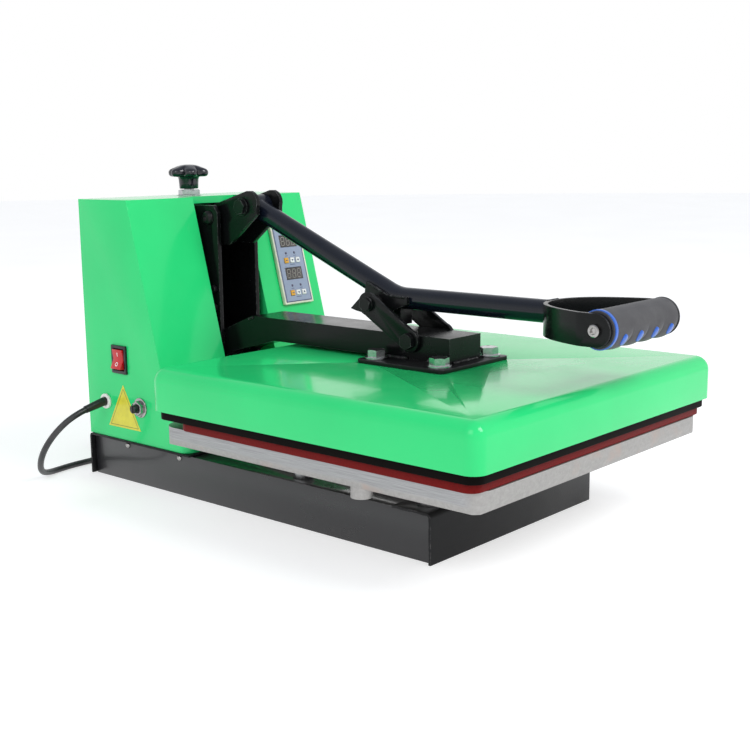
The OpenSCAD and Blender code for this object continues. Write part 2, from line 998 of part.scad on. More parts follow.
module handle_fork() {
    color("#1f2022")
        difference() {
            union() {
                translate([0, 0, grip_z - fork_h / 2])
                    linear_extrude(fork_h) fork_plan();
                both_sides() rod_x(fork_h, fork_x - fork_t, fork_x, grip_y, grip_z);
            }
            rod_x(6.2, -80, 80, grip_y, grip_z);
        }
}

// Moulded grip with four finger swells along its front underside
module grip() {
    color("#434146")
        difference() {
            union() {
                rod_x(grip_d - 3, -grip_l / 2 + 4, grip_l / 2 - 4, grip_y, grip_z);
                for (k = [0:3])
                    rod_x(grip_d - 2, (k - 1.5) * 27 - 8.5, (k - 1.5) * 27 + 8.5,
                        grip_y - 1.5, grip_z - 2);
            }
            rod_x(6.2, -80, 80, grip_y, grip_z);
        }
}

module grip_caps() {
    color("#326ec8")
        difference() {
            both_sides() rod_x(grip_d, grip_l / 2 - 4, grip_l / 2, grip_y, grip_z);
            rod_x(6.2, -80, 80, grip_y, grip_z);
        }
}

// Rod through the grip, with a socket screw head at each end
module grip_rod() {
    color("#c0c3c7") {
        rod_x(6, -fork_x - 0.5, fork_x + 0.5, grip_y, grip_z);
        both_sides()
            difference() {
                rod_x(11, fork_x, fork_x + 4, grip_y, grip_z);
                rod_x(5.8, fork_x + 1.5, fork_x + 8, grip_y, grip_z, $fn = 6);
            }
    }
}

// ---------- toggle link ----------

module link_outline() {
    dy = link_y - toggle_y;
    dz = link_z - toggle_z;
    r = 12;
    translate([toggle_y, toggle_z]) circle(r);
    translate([link_y, link_z]) circle(r);
    translate([toggle_y, toggle_z])
        rotate(atan2(dz, dy))
            translate([0, 0.5 - r]) square([sqrt(dy * dy + dz * dz), 2 * r - 1]);
    translate([link_y, link_z])
        polygon([[-3, 10.5], [6, 9.5], [23, -6], [15, -8], [5, -9.5], [-3, 0]]);
}

module toggle_link() {
    color("#1b1b1d")
        difference() {
            both_sides() across(link_x, link_x + link_t) link_outline();
            rod_x(pivot_d + 2 * fit_gap, -60, 60, toggle_y, toggle_z);
            rod_x(9, -60, 60, link_y, link_z);
        }
}

// Bolts at the link's upper ends; they stop short of the handle's sleeve
module link_bolts() {
    color("#2a2a2d")
        both_sides() {
            rod_x(9, link_x, link_x + link_t, link_y, link_z);
            facing_x(1, link_y, link_z, link_x + link_t)
                cylinder(d = 15, h = 5, $fn = 6);
        }
}

// ---------- arm ----------

module arm_profile() {
    polygon([[arm_front, arm_bottom], [120, arm_bottom], [188, 142], [arm_y - 4, 128],
        [arm_y + 10, 131], [arm_y + 14, 148], [arm_y - 4, 161], [194, 169],
        [154, arm_top], [arm_front, arm_top]]);
}

module arm_tube() {
    color("#202123")
        difference() {
            union() {
                across(-arm_w / 2, arm_w / 2) arm_profile();
                rod_x(pivot_d, -link_x - link_t - 3, link_x + link_t + 3, toggle_y, toggle_z);
                both_sides()
                    facing_x(1, toggle_y, toggle_z, link_x + link_t + 0.3)
                        cylinder(d = 17, h = 5, $fn = 6);
            }
            across(-arm_w / 2 + arm_wall, arm_w / 2 - arm_wall)
                polygon([[arm_front + arm_wall, arm_bottom + arm_wall],
                    [120, arm_bottom + arm_wall], [188, 146], [206, 139], [206, 160],
                    [192, 166], [153, arm_top - arm_wall],
                    [arm_front + arm_wall, arm_top - arm_wall]]);
            rod_x(pivot_d + 4 + 2 * fit_gap, -60, 60, arm_y, arm_z);
        }
}

module mount_plate() {
    color("#1b1b1d")
        difference() {
            translate([0, mount_y, cover_top])
                linear_extrude(mount_t) round_rect(mount_size, mount_size, 6);
            for (x = [-1, 1], y = [-1, 1])
                translate([x * mount_pitch / 2, mount_y + y * mount_pitch / 2, cover_top - 1])
                    cylinder(d = 11, h = 10);
        }
}

module mount_bolts() {
    color("#c4c8cb")
        for (x = [-1, 1], y = [-1, 1])
            translate([x * mount_pitch / 2, mount_y + y * mount_pitch / 2, 0]) {
                translate([0, 0, platen_top - 6]) cylinder(d = 10, h = cover_top + mount_t - platen_top + 6);
                translate([0, 0, cover_top + mount_t]) hex_head(17, 7.5, 24);
            }
}

// ---------- heated head ----------

module cover() {
    color("#35c870")
        translate([0, cover_mid, cover_z])
            difference() {
                pillow(cover_size, cover_size, cover_h, cover_r);
                translate([0, 0, -1])
                    pillow(cover_size - 2 * cover_t, cover_size - 2 * cover_t,
                        cover_h - cover_t + 1, cover_r - cover_t);
                for (x = [-1, 1], y = [-1, 1])
                    translate([x * mount_pitch / 2, mount_y - cover_mid + y * mount_pitch / 2, 0])
                        cylinder(d = 11, h = 60);
            }
}

// Ceramic wool between the heated platen and the cover
module insulation() {
    top = cover_top - cover_t;
    low = element_z + element_d / 2 + 0.3;
    color("#e6e0d2")
        difference() {
            translate([0, cover_mid, low])
                linear_extrude(top - low) round_rect(cover_size - 34, cover_size - 34, 12);
            for (x = [-1, 1], y = [-1, 1])
                translate([x * mount_pitch / 2, mount_y + y * mount_pitch / 2, low - 1])
                    cylinder(d = 11, h = 60);
        }
}

module heat_platen() {
    color("#3a3a3c")
        difference() {
            translate([0, platen_mid, platen_z])
                linear_extrude(platen_t) round_rect(platen_w, platen_d, 13);
            for (x = [-1, 1], y = [-1, 1])
                translate([x * mount_pitch / 2, mount_y + y * mount_pitch / 2, platen_top - 6])
                    cylinder(d = 10, h = 10);
        }
}

// Tubular heating element, bent back and forth over the platen
module heating_element() {
    reach = 130;
    pitch = 54;
    r = pitch / 2;
    rows = 6;
    y0 = platen_mid - pitch * (rows - 1) / 2;
    color("#8a7f76") {
        for (k = [0:rows - 1])
            rod_x(element_d, -reach, reach, y0 + k * pitch, element_z);
        for (k = [0:rows - 2])
            translate([(k % 2 == 0 ? 1 : -1) * reach, y0 + k * pitch + r, element_z])
                rotate(k % 2 == 0 ? -90 : 90)
                    rotate_extrude(angle = 180)
                        translate([r, 0]) circle(d = element_d);
    }
}

module temperature_sensor() {
    color("#c0c3c7") {
        translate([20, platen_mid, platen_top]) cylinder(d = 9, h = 5, $fn = 6);
        translate([20, platen_mid, platen_top + 5]) cylinder(d = 5, h = 2.5);
    }
}

base_rail_left();
base_rail_right();
base_channel_front();
base_deck();
base_cross_bars();
base_screws();
housing();
housing_back_panel();
housing_screws();
tower_left();
tower_right();
tower_cap();
tower_bolts();
arm_hinge_shaft();
knob_collar();
lower_plate();
table_posts();
silicone_pad();
panel_bezel();
panel_face();
panel_displays();
panel_lamps();
circuit_board();
heater_relay();
switch_frame();
fuse_holder();
cord_gland();
strain_relief();
power_cord();
cord_coil();
power_plug();
head_block();
handle_pivot_bolt();
pressure_knob();
pressure_screw();
handle_tube();
handle_lugs();
handle_fork();
grip();
grip_caps();
grip_rod();
link_upper_sleeve();
toggle_link();
link_bolts();
arm_tube();
mount_plate();
mount_bolts();
cover();
insulation();
heat_platen();
heating_element();
temperature_sensor();
rocker();
fuse_cap();
set_button_upper();
down_button_upper();
up_button_upper();
set_button_lower();
down_button_lower();
up_button_lower();
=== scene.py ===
"""Looks of a clamshell heat press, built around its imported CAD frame."""

from __future__ import annotations

import json
import logging
import math
from dataclasses import dataclass
from enum import Enum
from typing import Callable, Sequence

import bmesh
import bpy
from mathutils import Matrix, Vector

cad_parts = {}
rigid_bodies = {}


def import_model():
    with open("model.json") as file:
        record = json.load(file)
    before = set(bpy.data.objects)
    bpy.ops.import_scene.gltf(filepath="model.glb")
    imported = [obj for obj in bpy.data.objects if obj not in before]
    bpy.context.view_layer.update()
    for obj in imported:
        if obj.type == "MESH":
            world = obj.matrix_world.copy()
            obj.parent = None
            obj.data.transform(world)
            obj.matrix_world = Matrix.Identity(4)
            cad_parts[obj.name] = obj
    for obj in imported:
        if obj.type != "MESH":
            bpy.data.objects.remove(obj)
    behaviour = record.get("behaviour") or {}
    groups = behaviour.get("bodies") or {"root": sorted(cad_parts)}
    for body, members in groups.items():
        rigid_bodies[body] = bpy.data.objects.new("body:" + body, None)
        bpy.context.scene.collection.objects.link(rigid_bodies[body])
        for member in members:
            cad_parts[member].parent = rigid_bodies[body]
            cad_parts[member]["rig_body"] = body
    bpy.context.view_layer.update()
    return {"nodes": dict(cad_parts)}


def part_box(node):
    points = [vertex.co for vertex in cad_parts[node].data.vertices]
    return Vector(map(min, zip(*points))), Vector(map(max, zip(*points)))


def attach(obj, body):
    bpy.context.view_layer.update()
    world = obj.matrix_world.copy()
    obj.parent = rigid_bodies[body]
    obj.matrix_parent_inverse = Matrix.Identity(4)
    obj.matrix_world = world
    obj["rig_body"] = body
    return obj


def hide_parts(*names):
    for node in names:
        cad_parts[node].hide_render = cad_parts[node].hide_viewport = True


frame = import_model()
MM = 0.001
LOG = logging.getLogger("heat_press")
Point = tuple[float, float, float]
Colour = tuple[float, float, float]


class Side(Enum):
    """The two sides of the press, seen by its operator."""

    LEFT = -1
    RIGHT = 1


class Grain(Enum):
    """Direction that a metal or a moulding was drawn, ground or brushed in."""

    X = (1.0, 60.0, 60.0)
    Y = (60.0, 1.0, 60.0)
    Z = (60.0, 60.0, 1.0)
    NONE = (18.0, 18.0, 18.0)


# ---------------------------------------------------------------- shader groups


class NodeKit:
    """Small helpers that wire shader nodes in a tree."""

    def __init__(self, tree: bpy.types.NodeTree) -> None:
        """Keeps the tree that nodes go in.

        Args:
            tree: The node tree of a material or a group.
        """
        self.tree = tree

    def add(self, kind: str, **settings: object) -> bpy.types.Node:
        """Adds a node and sets its properties and input defaults.

        Args:
            kind: The node's type name.
            **settings: Properties, or inputs by name with underscores for spaces.

        Returns:
            The new node.
        """
        node = self.tree.nodes.new(kind)
        for key, value in settings.items():
            if hasattr(node, key):
                setattr(node, key, value)
            else:
                node.inputs[key.replace("_", " ")].default_value = value
        return node

    def link(self, source: bpy.types.NodeSocket, target: bpy.types.NodeSocket) -> None:
        """Joins an output socket to an input socket.

        Args:
            source: The output socket.
            target: The input socket.
        """
        self.tree.links.new(source, target)

    def noise(
        self, vector: bpy.types.NodeSocket, scale: float, detail: float = 3.0, roughness: float = 0.5
    ) -> bpy.types.NodeSocket:
        """Adds a noise texture over a vector.

        Args:
            vector: The coordinates that it reads.
            scale: Cells per metre of the coordinates.
            detail: Octaves of finer noise.
            roughness: How strong the finer octaves are.

        Returns:
            The noise value, about 0 to 1.
        """
        node = self.add("ShaderNodeTexNoise", Scale=scale, Detail=detail, Roughness=roughness)
        self.link(vector, node.inputs["Vector"])
        return node.outputs["Fac"]

    def spread(
        self, value: bpy.types.NodeSocket, low: float, high: float, to_low: float = 0.0, to_high: float = 1.0
    ) -> bpy.types.NodeSocket:
        """Maps a value from one range to another, held within the new range.

        Args:
            value: The value that is mapped.
            low: Start of its range.
            high: End of its range.
            to_low: What low becomes.
            to_high: What high becomes.

        Returns:
            The mapped value.
        """
        node = self.add("ShaderNodeMapRange", clamp=True)
        for name, number in zip(("From Min", "From Max", "To Min", "To Max"), (low, high, to_low, to_high)):
            node.inputs[name].default_value = number
        self.link(value, node.inputs["Value"])
        return node.outputs["Result"]

    def math(
        self, operation: str, first: bpy.types.NodeSocket, second: bpy.types.NodeSocket | float
    ) -> bpy.types.NodeSocket:
        """Adds a Math node over two values.

        Args:
            operation: The node's operation, such as MULTIPLY.
            first: The first value.
            second: The second value, as a socket or a number.

        Returns:
            The result.
        """
        node = self.add("ShaderNodeMath", operation=operation)
        self.link(first, node.inputs[0])
        if isinstance(second, (int, float)):
            node.inputs[1].default_value = second
        else:
            self.link(second, node.inputs[1])
        return node.outputs[0]

    def mix(
        self,
        factor: bpy.types.NodeSocket,
        first: bpy.types.NodeSocket | Colour,
        second: bpy.types.NodeSocket | Colour,
    ) -> bpy.types.NodeSocket:
        """Mixes two colours by a factor.

        Args:
            factor: 0 for the first colour and 1 for the second.
            first: A colour or a socket.
            second: A colour or a socket.

        Returns:
            The mixed colour.
        """
        node = self.add("ShaderNodeMix", data_type="RGBA", clamp_factor=True)
        self.link(factor, node.inputs[0])
        for value, name in ((first, "A"), (second, "B")):
            socket = [s for s in node.inputs if s.name == name and s.type == "RGBA"][0]
            if isinstance(value, tuple):
                socket.default_value = (*value, 1.0)
            else:
                self.link(value, socket)
        return [s for s in node.outputs if s.type == "RGBA"][0]


def group_tree(name: str, inputs: dict[str, float], outputs: Sequence[str]) -> NodeKit:
    """Starts a shader node group with number inputs and outputs.

    Args:
        name: The group's name.
        inputs: Input names with their defaults.
        outputs: Output names.

    Returns:
        A kit over the new group's tree.
    """
    tree = bpy.data.node_groups.new(name, "ShaderNodeTree")
    for label, default in inputs.items():
        socket = tree.interface.new_socket(label, in_out="INPUT", socket_type="NodeSocketFloat")
        socket.default_value = default
    for label in outputs:
        tree.interface.new_socket(label, in_out="OUTPUT", socket_type="NodeSocketFloat")
    return NodeKit(tree)


class SharedEffects:
    """The node groups that several finishes use, each built once."""

    def __init__(self) -> None:
        """Builds every group."""
        self.edge_wear_and_highlight = self._edge_wear_and_highlight()
        self.settled_dust = self._settled_dust()
        self.paint_texture = self._paint_texture()
        self.metal_grain = self._metal_grain()

    @staticmethod
    def _edge_wear_and_highlight() -> bpy.types.NodeTree:
        """Builds a mask that is 1 along sharp edges, broken up by noise: pale edges that are partly wear and
        partly a painted highlight.

        Returns:
            The group tree, with a Mask output.
        """
        kit = group_tree("edge_wear_and_highlight", {"Radius": 0.0012, "Break Up": 160.0, "Amount": 0.5}, ["Mask"])
        entry = kit.add("NodeGroupInput")
        leave = kit.add("NodeGroupOutput")
        bevel = kit.add("ShaderNodeBevel", samples=4)
        kit.link(entry.outputs["Radius"], bevel.inputs["Radius"])
        geometry = kit.add("ShaderNodeNewGeometry")
        dot = kit.add("ShaderNodeVectorMath", operation="DOT_PRODUCT")
        kit.link(bevel.outputs["Normal"], dot.inputs[0])
        kit.link(geometry.outputs["Normal"], dot.inputs[1])
        bend = kit.spread(dot.outputs["Value"], 0.995, 0.86)
        coords = kit.add("ShaderNodeTexCoord")
        noise = kit.add("ShaderNodeTexNoise", Detail=4.0, Roughness=0.65)
        kit.link(coords.outputs["Object"], noise.inputs["Vector"])
        kit.link(entry.outputs["Break Up"], noise.inputs["Scale"])
        patch = kit.spread(noise.outputs["Fac"], 0.46, 0.66)
        kit.link(
            kit.math("MULTIPLY", kit.math("MULTIPLY", bend, patch), entry.outputs["Amount"]),
            leave.inputs[0],
        )
        return kit.tree

    @staticmethod
    def _settled_dust() -> bpy.types.NodeTree:
        """Builds a mask of dust that settles on faces that look up.

        Returns:
            The group tree, with a Mask output.
        """
        kit = group_tree("settled_dust", {"Amount": 0.3}, ["Mask"])
        entry = kit.add("NodeGroupInput")
        leave = kit.add("NodeGroupOutput")
        geometry = kit.add("ShaderNodeNewGeometry")
        split = kit.add("ShaderNodeSeparateXYZ")
        kit.link(geometry.outputs["Normal"], split.inputs[0])
        upward = kit.spread(split.outputs["Z"], 0.3, 1.0)
        coords = kit.add("ShaderNodeTexCoord")
        cloud = kit.spread(kit.noise(coords.outputs["Object"], 22.0, 6.0, 0.62), 0.42, 0.72)
        kit.link(
            kit.math("MULTIPLY", kit.math("MULTIPLY", upward, cloud), entry.outputs["Amount"]),
            leave.inputs[0],
        )
        return kit.tree

    @staticmethod
    def _paint_texture() -> bpy.types.NodeTree:
        """Builds the height of sprayed paint: fine orange peel over a slow ripple.

        Returns:
            The group tree, with a Height output.
        """
        kit = group_tree("paint_texture", {"Peel": 1.0, "Ripple": 1.0}, ["Height"])
        entry = kit.add("NodeGroupInput")
        leave = kit.add("NodeGroupOutput")
        coords = kit.add("ShaderNodeTexCoord")
        peel = kit.math("MULTIPLY", kit.noise(coords.outputs["Object"], 620.0, 1.0), entry.outputs["Peel"])
        ripple = kit.math(
            "MULTIPLY", kit.noise(coords.outputs["Object"], 16.0, 2.0, 0.4), entry.outputs["Ripple"],
        )
        kit.link(kit.math("ADD", peel, kit.math("MULTIPLY", ripple, 12.0)), leave.inputs[0])
        return kit.tree

    @staticmethod
    def _metal_grain() -> bpy.types.NodeTree:
        """Builds streaks along the grain and the cloudiness of handled metal.

        Returns:
            The group tree, with Streak and Cloud outputs.
        """
        kit = group_tree(
            "metal_grain", {"Across X": 60.0, "Across Y": 60.0, "Across Z": 1.0}, ["Streak", "Cloud"],
        )
        entry = kit.add("NodeGroupInput")
        leave = kit.add("NodeGroupOutput")
        coords = kit.add("ShaderNodeTexCoord")
        stretch = kit.add("ShaderNodeCombineXYZ")
        for index in range(3):
            kit.link(entry.outputs[index], stretch.inputs[index])
        scaled = kit.add("ShaderNodeVectorMath", operation="MULTIPLY")
        kit.link(coords.outputs["Object"], scaled.inputs[0])
        kit.link(stretch.outputs[0], scaled.inputs[1])
        kit.link(kit.noise(scaled.outputs[0], 26.0, 4.0, 0.7), leave.inputs[0])
        kit.link(kit.noise(coords.outputs["Object"], 34.0, 5.0, 0.6), leave.inputs[1])
        return kit.tree


EFFECTS = SharedEffects()


# ---------------------------------------------------------------- finishes


class Slot(Enum):
    """The material slots of the record, which each finish belongs to."""

    BLACK_PAINT = "black_paint"
    GREEN_PAINT = "green_paint"
    CAST_ALUMINIUM = "cast_aluminium"
    STEEL = "steel"
    ZINC = "zinc"
    SILICONE = "silicone"
    PLATEN_COATING = "platen_coating"
    WOOL = "wool"
    ELEMENT = "element"
    CREAM_PLASTIC = "cream_plastic"
    PANEL_PRINT = "panel_print"
    DISPLAY = "display"
    LAMP = "lamp"
    BOARD = "board"
    RELAY = "relay"
    BLACK_PLASTIC = "black_plastic"
    WHITE_PLASTIC = "white_plastic"
    RED_PLASTIC = "red_plastic"
    NICKEL = "nickel"
    CORD_PVC = "cord_pvc"
    KNOB_PLASTIC = "knob_plastic"
    GRIP_FOAM = "grip_foam"
    BLUE_PLASTIC = "blue_plastic"
    YELLOW_BUTTON = "yellow_button"
    WHITE_BUTTON = "white_button"


@dataclass(frozen=True)
class Finish:
    """A surface finish over one Principled shader."""

    name: str
    slot: Slot
    colour: Colour
    roughness: float = 0.4

    def begin(self) -> tuple[bpy.types.Material, NodeKit, bpy.types.Node, bpy.types.NodeSocket]:
        """Starts the material.

        Returns:
            The material, a kit over its tree, its shader and its Object coordinates.
        """
        material = bpy.data.materials.new(self.name)
        material.use_nodes = True
        material.diffuse_color = (*self.colour, 1.0)
        kit = NodeKit(material.node_tree)
        shader = material.node_tree.nodes["Principled BSDF"]
        shader.inputs["Roughness"].default_value = self.roughness
        coords = kit.add("ShaderNodeTexCoord").outputs["Object"]
        return material, kit, shader, coords

    def bump(
        self, kit: NodeKit, shader: bpy.types.Node, height: bpy.types.NodeSocket,
        depth: float, strength: float = 1.0
    ) -> None:
        """Feeds a height into the shader's normal.

        Args:
            kit: The material's kit.
            shader: The Principled shader.
            height: The height, about 0 to 1.
            depth: Metres that a height of 1 stands for.
            strength: How much of the bump shows.
        """
        node = kit.add("ShaderNodeBump", Strength=strength, Distance=depth)
        kit.link(height, node.inputs["Height"])
        kit.link(node.outputs["Normal"], shader.inputs["Normal"])

    def build(self) -> bpy.types.Material:
        """Builds a plain version of the finish, with slight changes of tone and gloss.

        Returns:
            The finished material.
        """
        material, kit, shader, coords = self.begin()
        tone = kit.spread(kit.noise(coords, 60.0, 4.0), 0.35, 0.65)
        dark = tuple(c * 0.86 for c in self.colour)
        kit.link(kit.mix(tone, dark, self.colour), shader.inputs["Base Color"])
        gloss = kit.spread(
            kit.noise(coords, 240.0, 3.0), 0.3, 0.7, self.roughness * 0.85, self.roughness * 1.2,
        )
        kit.link(gloss, shader.inputs["Roughness"])
        return material


@dataclass(frozen=True)
class SprayedPaint(Finish):
    """Stoved paint over sheet steel, with orange peel, a little dust, and paler edges that are partly wear
    and partly a painted highlight.
    """

    peel: float = 1.0
    ripple: float = 1.0
    # The edge amount and edge colour below set paler edges: partly wear, partly a painted highlight on
    # rounded edges.
    wear_and_highlight: float = 0.5
    bare_and_highlight: Colour = (0.42, 0.42, 0.43)
    dust: float = 0.12
    coat: float = 0.6
    specular: float = 0.5
    depth: float = 0.00006
    wear_and_highlight_radius: float = 0.0011

    def build(self) -> bpy.types.Material:
        """Builds the painted finish.

        Returns:
            The finished material.
        """
        material, kit, shader, coords = self.begin()
        shader.inputs["Coat Weight"].default_value = self.coat
        shader.inputs["Coat Roughness"].default_value = 0.05
        shader.inputs["IOR"].default_value = 1.5
        shader.inputs["Specular IOR Level"].default_value = self.specular
        tone = kit.spread(kit.noise(coords, 7.0, 5.0, 0.55), 0.38, 0.64)
        shade = tuple(c * 0.93 for c in self.colour)
        body = kit.mix(tone, shade, self.colour)
        dust = kit.add("ShaderNodeGroup", node_tree=EFFECTS.settled_dust)
        dust.inputs["Amount"].default_value = self.dust
        dusty = kit.mix(dust.outputs["Mask"], body, (0.36, 0.34, 0.31))
        # Edges turn pale and metallic: partly worn bare steel, partly a painted highlight where light catches
        # the rounded edges.
        edges = kit.add("ShaderNodeGroup", node_tree=EFFECTS.edge_wear_and_highlight)
        edges.inputs["Radius"].default_value = self.wear_and_highlight_radius
        edges.inputs["Amount"].default_value = self.wear_and_highlight
        kit.link(kit.mix(edges.outputs["Mask"], dusty, self.bare_and_highlight), shader.inputs["Base Color"])
        kit.link(kit.math("MULTIPLY", edges.outputs["Mask"], 0.8), shader.inputs["Metallic"])
        smudge = kit.spread(
            kit.noise(coords, 11.0, 6.0, 0.66), 0.4, 0.75, self.roughness, self.roughness + 0.13,
        )
        rubbed = kit.math("ADD", smudge, kit.math("MULTIPLY", dust.outputs["Mask"], 0.5))
        kit.link(rubbed, shader.inputs["Roughness"])
        texture = kit.add("ShaderNodeGroup", node_tree=EFFECTS.paint_texture)
        texture.inputs["Peel"].default_value = self.peel
        texture.inputs["Ripple"].default_value = self.ripple
        self.bump(kit, shader, texture.outputs["Height"], self.depth)
        return material


@dataclass(frozen=True)
class BareMetal(Finish):
    """Plated, ground or drawn metal, with streaks along its grain."""

    grain: Grain = Grain.NONE
    streak: float = 0.35
    stain: float = 0.3
    stain_colour: Colour = (0.30, 0.27, 0.24)
    depth: float = 0.00003

    def build(self) -> bpy.types.Material:
        """Builds the metal finish.

        Returns:
            The finished material.
        """
        material, kit, shader, coords = self.begin()
        shader.inputs["Metallic"].default_value = 1.0
        grain = kit.add("ShaderNodeGroup", node_tree=EFFECTS.metal_grain)
        for socket, number in zip(grain.inputs, self.grain.value):
            socket.default_value = number
        streak, cloud = grain.outputs["Streak"], grain.outputs["Cloud"]
        dull = tuple(c * 0.7 for c in self.colour)
        tone = kit.mix(kit.spread(streak, 0.3, 0.68), dull, self.colour)
        stain = kit.spread(cloud, 0.5, 0.72, 0.0, self.stain)
        kit.link(kit.mix(stain, tone, self.stain_colour), shader.inputs["Base Color"])
        gloss = kit.spread(
            streak, 0.25, 0.75, self.roughness * (1 - self.streak), self.roughness * (1 + self.streak),
        )
        kit.link(kit.math("ADD", gloss, kit.math("MULTIPLY", stain, 0.3)), shader.inputs["Roughness"])
        self.bump(kit, shader, streak, self.depth)
        return material


@dataclass(frozen=True)
class CastPlate(Finish):
    """Cast aluminium: grainy skin low down and on the front, ground flat on its left edge and top."""

    ground_from: float = 0.0
    ground_face: float = 0.0

    def build(self) -> bpy.types.Material:
        """Builds the cast finish with its ground faces.

        Returns:
            The finished material.
        """
        material, kit, shader, coords = self.begin()
        shader.inputs["Metallic"].default_value = 1.0
        split = kit.add("ShaderNodeSeparateXYZ")
        kit.link(coords, split.inputs[0])
        wave = kit.math("MULTIPLY", kit.noise(coords, 24.0, 5.0, 0.6), 0.006)
        level = kit.math("ADD", split.outputs["Z"], wave)
        high = kit.spread(level, self.ground_from, self.ground_from + 0.003)
        outer = kit.spread(split.outputs["X"], self.ground_face + 0.004, self.ground_face + 0.0005)
        ground = kit.math("MULTIPLY", high, outer)
        grain = kit.add("ShaderNodeGroup", node_tree=EFFECTS.metal_grain)
        for socket, number in zip(grain.inputs, (30.0, 1.0, 60.0)):
            socket.default_value = number
        streak = grain.outputs["Streak"]
        skin = kit.noise(coords, 900.0, 6.0, 0.7)
        pits = kit.noise(coords, 260.0, 5.0, 0.75)
        cast = kit.mix(kit.spread(pits, 0.3, 0.7), (0.36, 0.35, 0.34), (0.46, 0.45, 0.44))
        rosy = kit.mix(kit.spread(kit.noise(coords, 40.0, 4.0), 0.56, 0.74), cast, (0.46, 0.39, 0.36))
        filed = kit.mix(kit.spread(streak, 0.3, 0.7), (0.26, 0.26, 0.265), (0.43, 0.43, 0.44))
        kit.link(kit.mix(ground, rosy, filed), shader.inputs["Base Color"])
        rough = kit.spread(kit.math("ADD", ground, kit.math("MULTIPLY", streak, 0.2)), 0.0, 1.2, 0.56, 0.34)
        kit.link(rough, shader.inputs["Roughness"])
        grit = kit.math("MULTIPLY", kit.math("ADD", skin, kit.math("MULTIPLY", pits, 1.4)), 0.5)
        smooth = kit.math("MULTIPLY", streak, 0.12)
        pick = kit.add("ShaderNodeMix", data_type="FLOAT", clamp_factor=True)
        kit.link(ground, pick.inputs[0])
        kit.link(grit, pick.inputs[2])
        kit.link(smooth, pick.inputs[3])
        self.bump(kit, shader, pick.outputs[0], 0.00022, 0.6)
        return material


@dataclass(frozen=True)
class Moulding(Finish):
    """Moulded plastic with a fine spark-eroded skin and scuffs."""

    texture: float = 900.0
    depth: float = 0.00003
    coat: float = 0.0
    scuff: float = 0.25
    clear: float = 0.0

    def build(self) -> bpy.types.Material:
        """Builds the moulded finish.

        Returns:
            The finished material.
        """
        material, kit, shader, coords = self.begin()
        shader.inputs["Coat Weight"].default_value = self.coat
        shader.inputs["Coat Roughness"].default_value = 0.08
        shader.inputs["IOR"].default_value = 1.49
        shader.inputs["Transmission Weight"].default_value = self.clear
        tone = kit.spread(kit.noise(coords, 90.0, 4.0, 0.6), 0.35, 0.68)
        dark = tuple(c * 0.84 for c in self.colour)
        base = kit.mix(tone, dark, self.colour)
        edges = kit.add("ShaderNodeGroup", node_tree=EFFECTS.edge_wear_and_highlight)
        edges.inputs["Radius"].default_value = 0.0006
        edges.inputs["Amount"].default_value = self.scuff
        pale = tuple(min(1.0, c * 1.5 + 0.05) for c in self.colour)
        kit.link(kit.mix(edges.outputs["Mask"], base, pale), shader.inputs["Base Color"])
        smudge = kit.spread(
            kit.noise(coords, 70.0, 6.0, 0.65), 0.4, 0.7, self.roughness, self.roughness + 0.12,
        )
        kit.link(smudge, shader.inputs["Roughness"])
        self.bump(kit, shader, kit.noise(coords, self.texture, 2.0), self.depth)
        return material


@dataclass(frozen=True)
class SoftRubber(Finish):
    """Rubber, silicone or foam, with a pored skin and a soft sheen."""

    pores: float = 700.0
    depth: float = 0.00012
    sheen: float = 0.3
    bloom: Colour = (0.2, 0.2, 0.2)
    specular: float = 0.5

    def build(self) -> bpy.types.Material:
        """Builds the rubber finish.

        Returns:
            The finished material.
        """
        material, kit, shader, coords = self.begin()
        shader.inputs["Sheen Weight"].default_value = self.sheen
        shader.inputs["Sheen Roughness"].default_value = 0.45
        shader.inputs["Specular IOR Level"].default_value = self.specular
        pore = kit.add("ShaderNodeTexVoronoi", feature="F1", Scale=self.pores)
        kit.link(coords, pore.inputs["Vector"])
        cloud = kit.spread(kit.noise(coords, 45.0, 6.0, 0.65), 0.4, 0.72)
        dark = tuple(c * 0.78 for c in self.colour)
        base = kit.mix(kit.spread(pore.outputs["Distance"], 0.1, 0.6), dark, self.colour)
        kit.link(kit.mix(kit.math("MULTIPLY", cloud, 0.22), base, self.bloom), shader.inputs["Base Color"])
        kit.link(
            kit.spread(cloud, 0.0, 1.0, self.roughness * 0.9, self.roughness * 1.15),
            shader.inputs["Roughness"],
        )
        self.bump(kit, shader, pore.outputs["Distance"], self.depth, 0.6)
        return material


@dataclass(frozen=True)
class WoolFibre(Finish):
    """Pressed ceramic wool, a mat of fine fibres."""

    def build(self) -> bpy.types.Material:
        """Builds the fibrous finish.

        Returns:
            The finished material.
        """
        material, kit, shader, coords = self.begin()
        shader.inputs["Sheen Weight"].default_value = 0.4
        warp = kit.add("ShaderNodeTexNoise", Scale=90.0, Detail=5.0, Distortion=2.5)
        kit.link(coords, warp.inputs["Vector"])
        fibre = kit.add("ShaderNodeTexWave", Scale=160.0, Distortion=14.0, Detail=4.0)
        kit.link(coords, fibre.inputs["Vector"])
        both = kit.math("MULTIPLY", warp.outputs["Fac"], fibre.outputs["Fac"])
        kit.link(
            kit.mix(kit.spread(both, 0.1, 0.6), (0.58, 0.53, 0.44), self.colour),
            shader.inputs["Base Color"],
        )
        self.bump(kit, shader, both, 0.0012, 0.8)
        return material


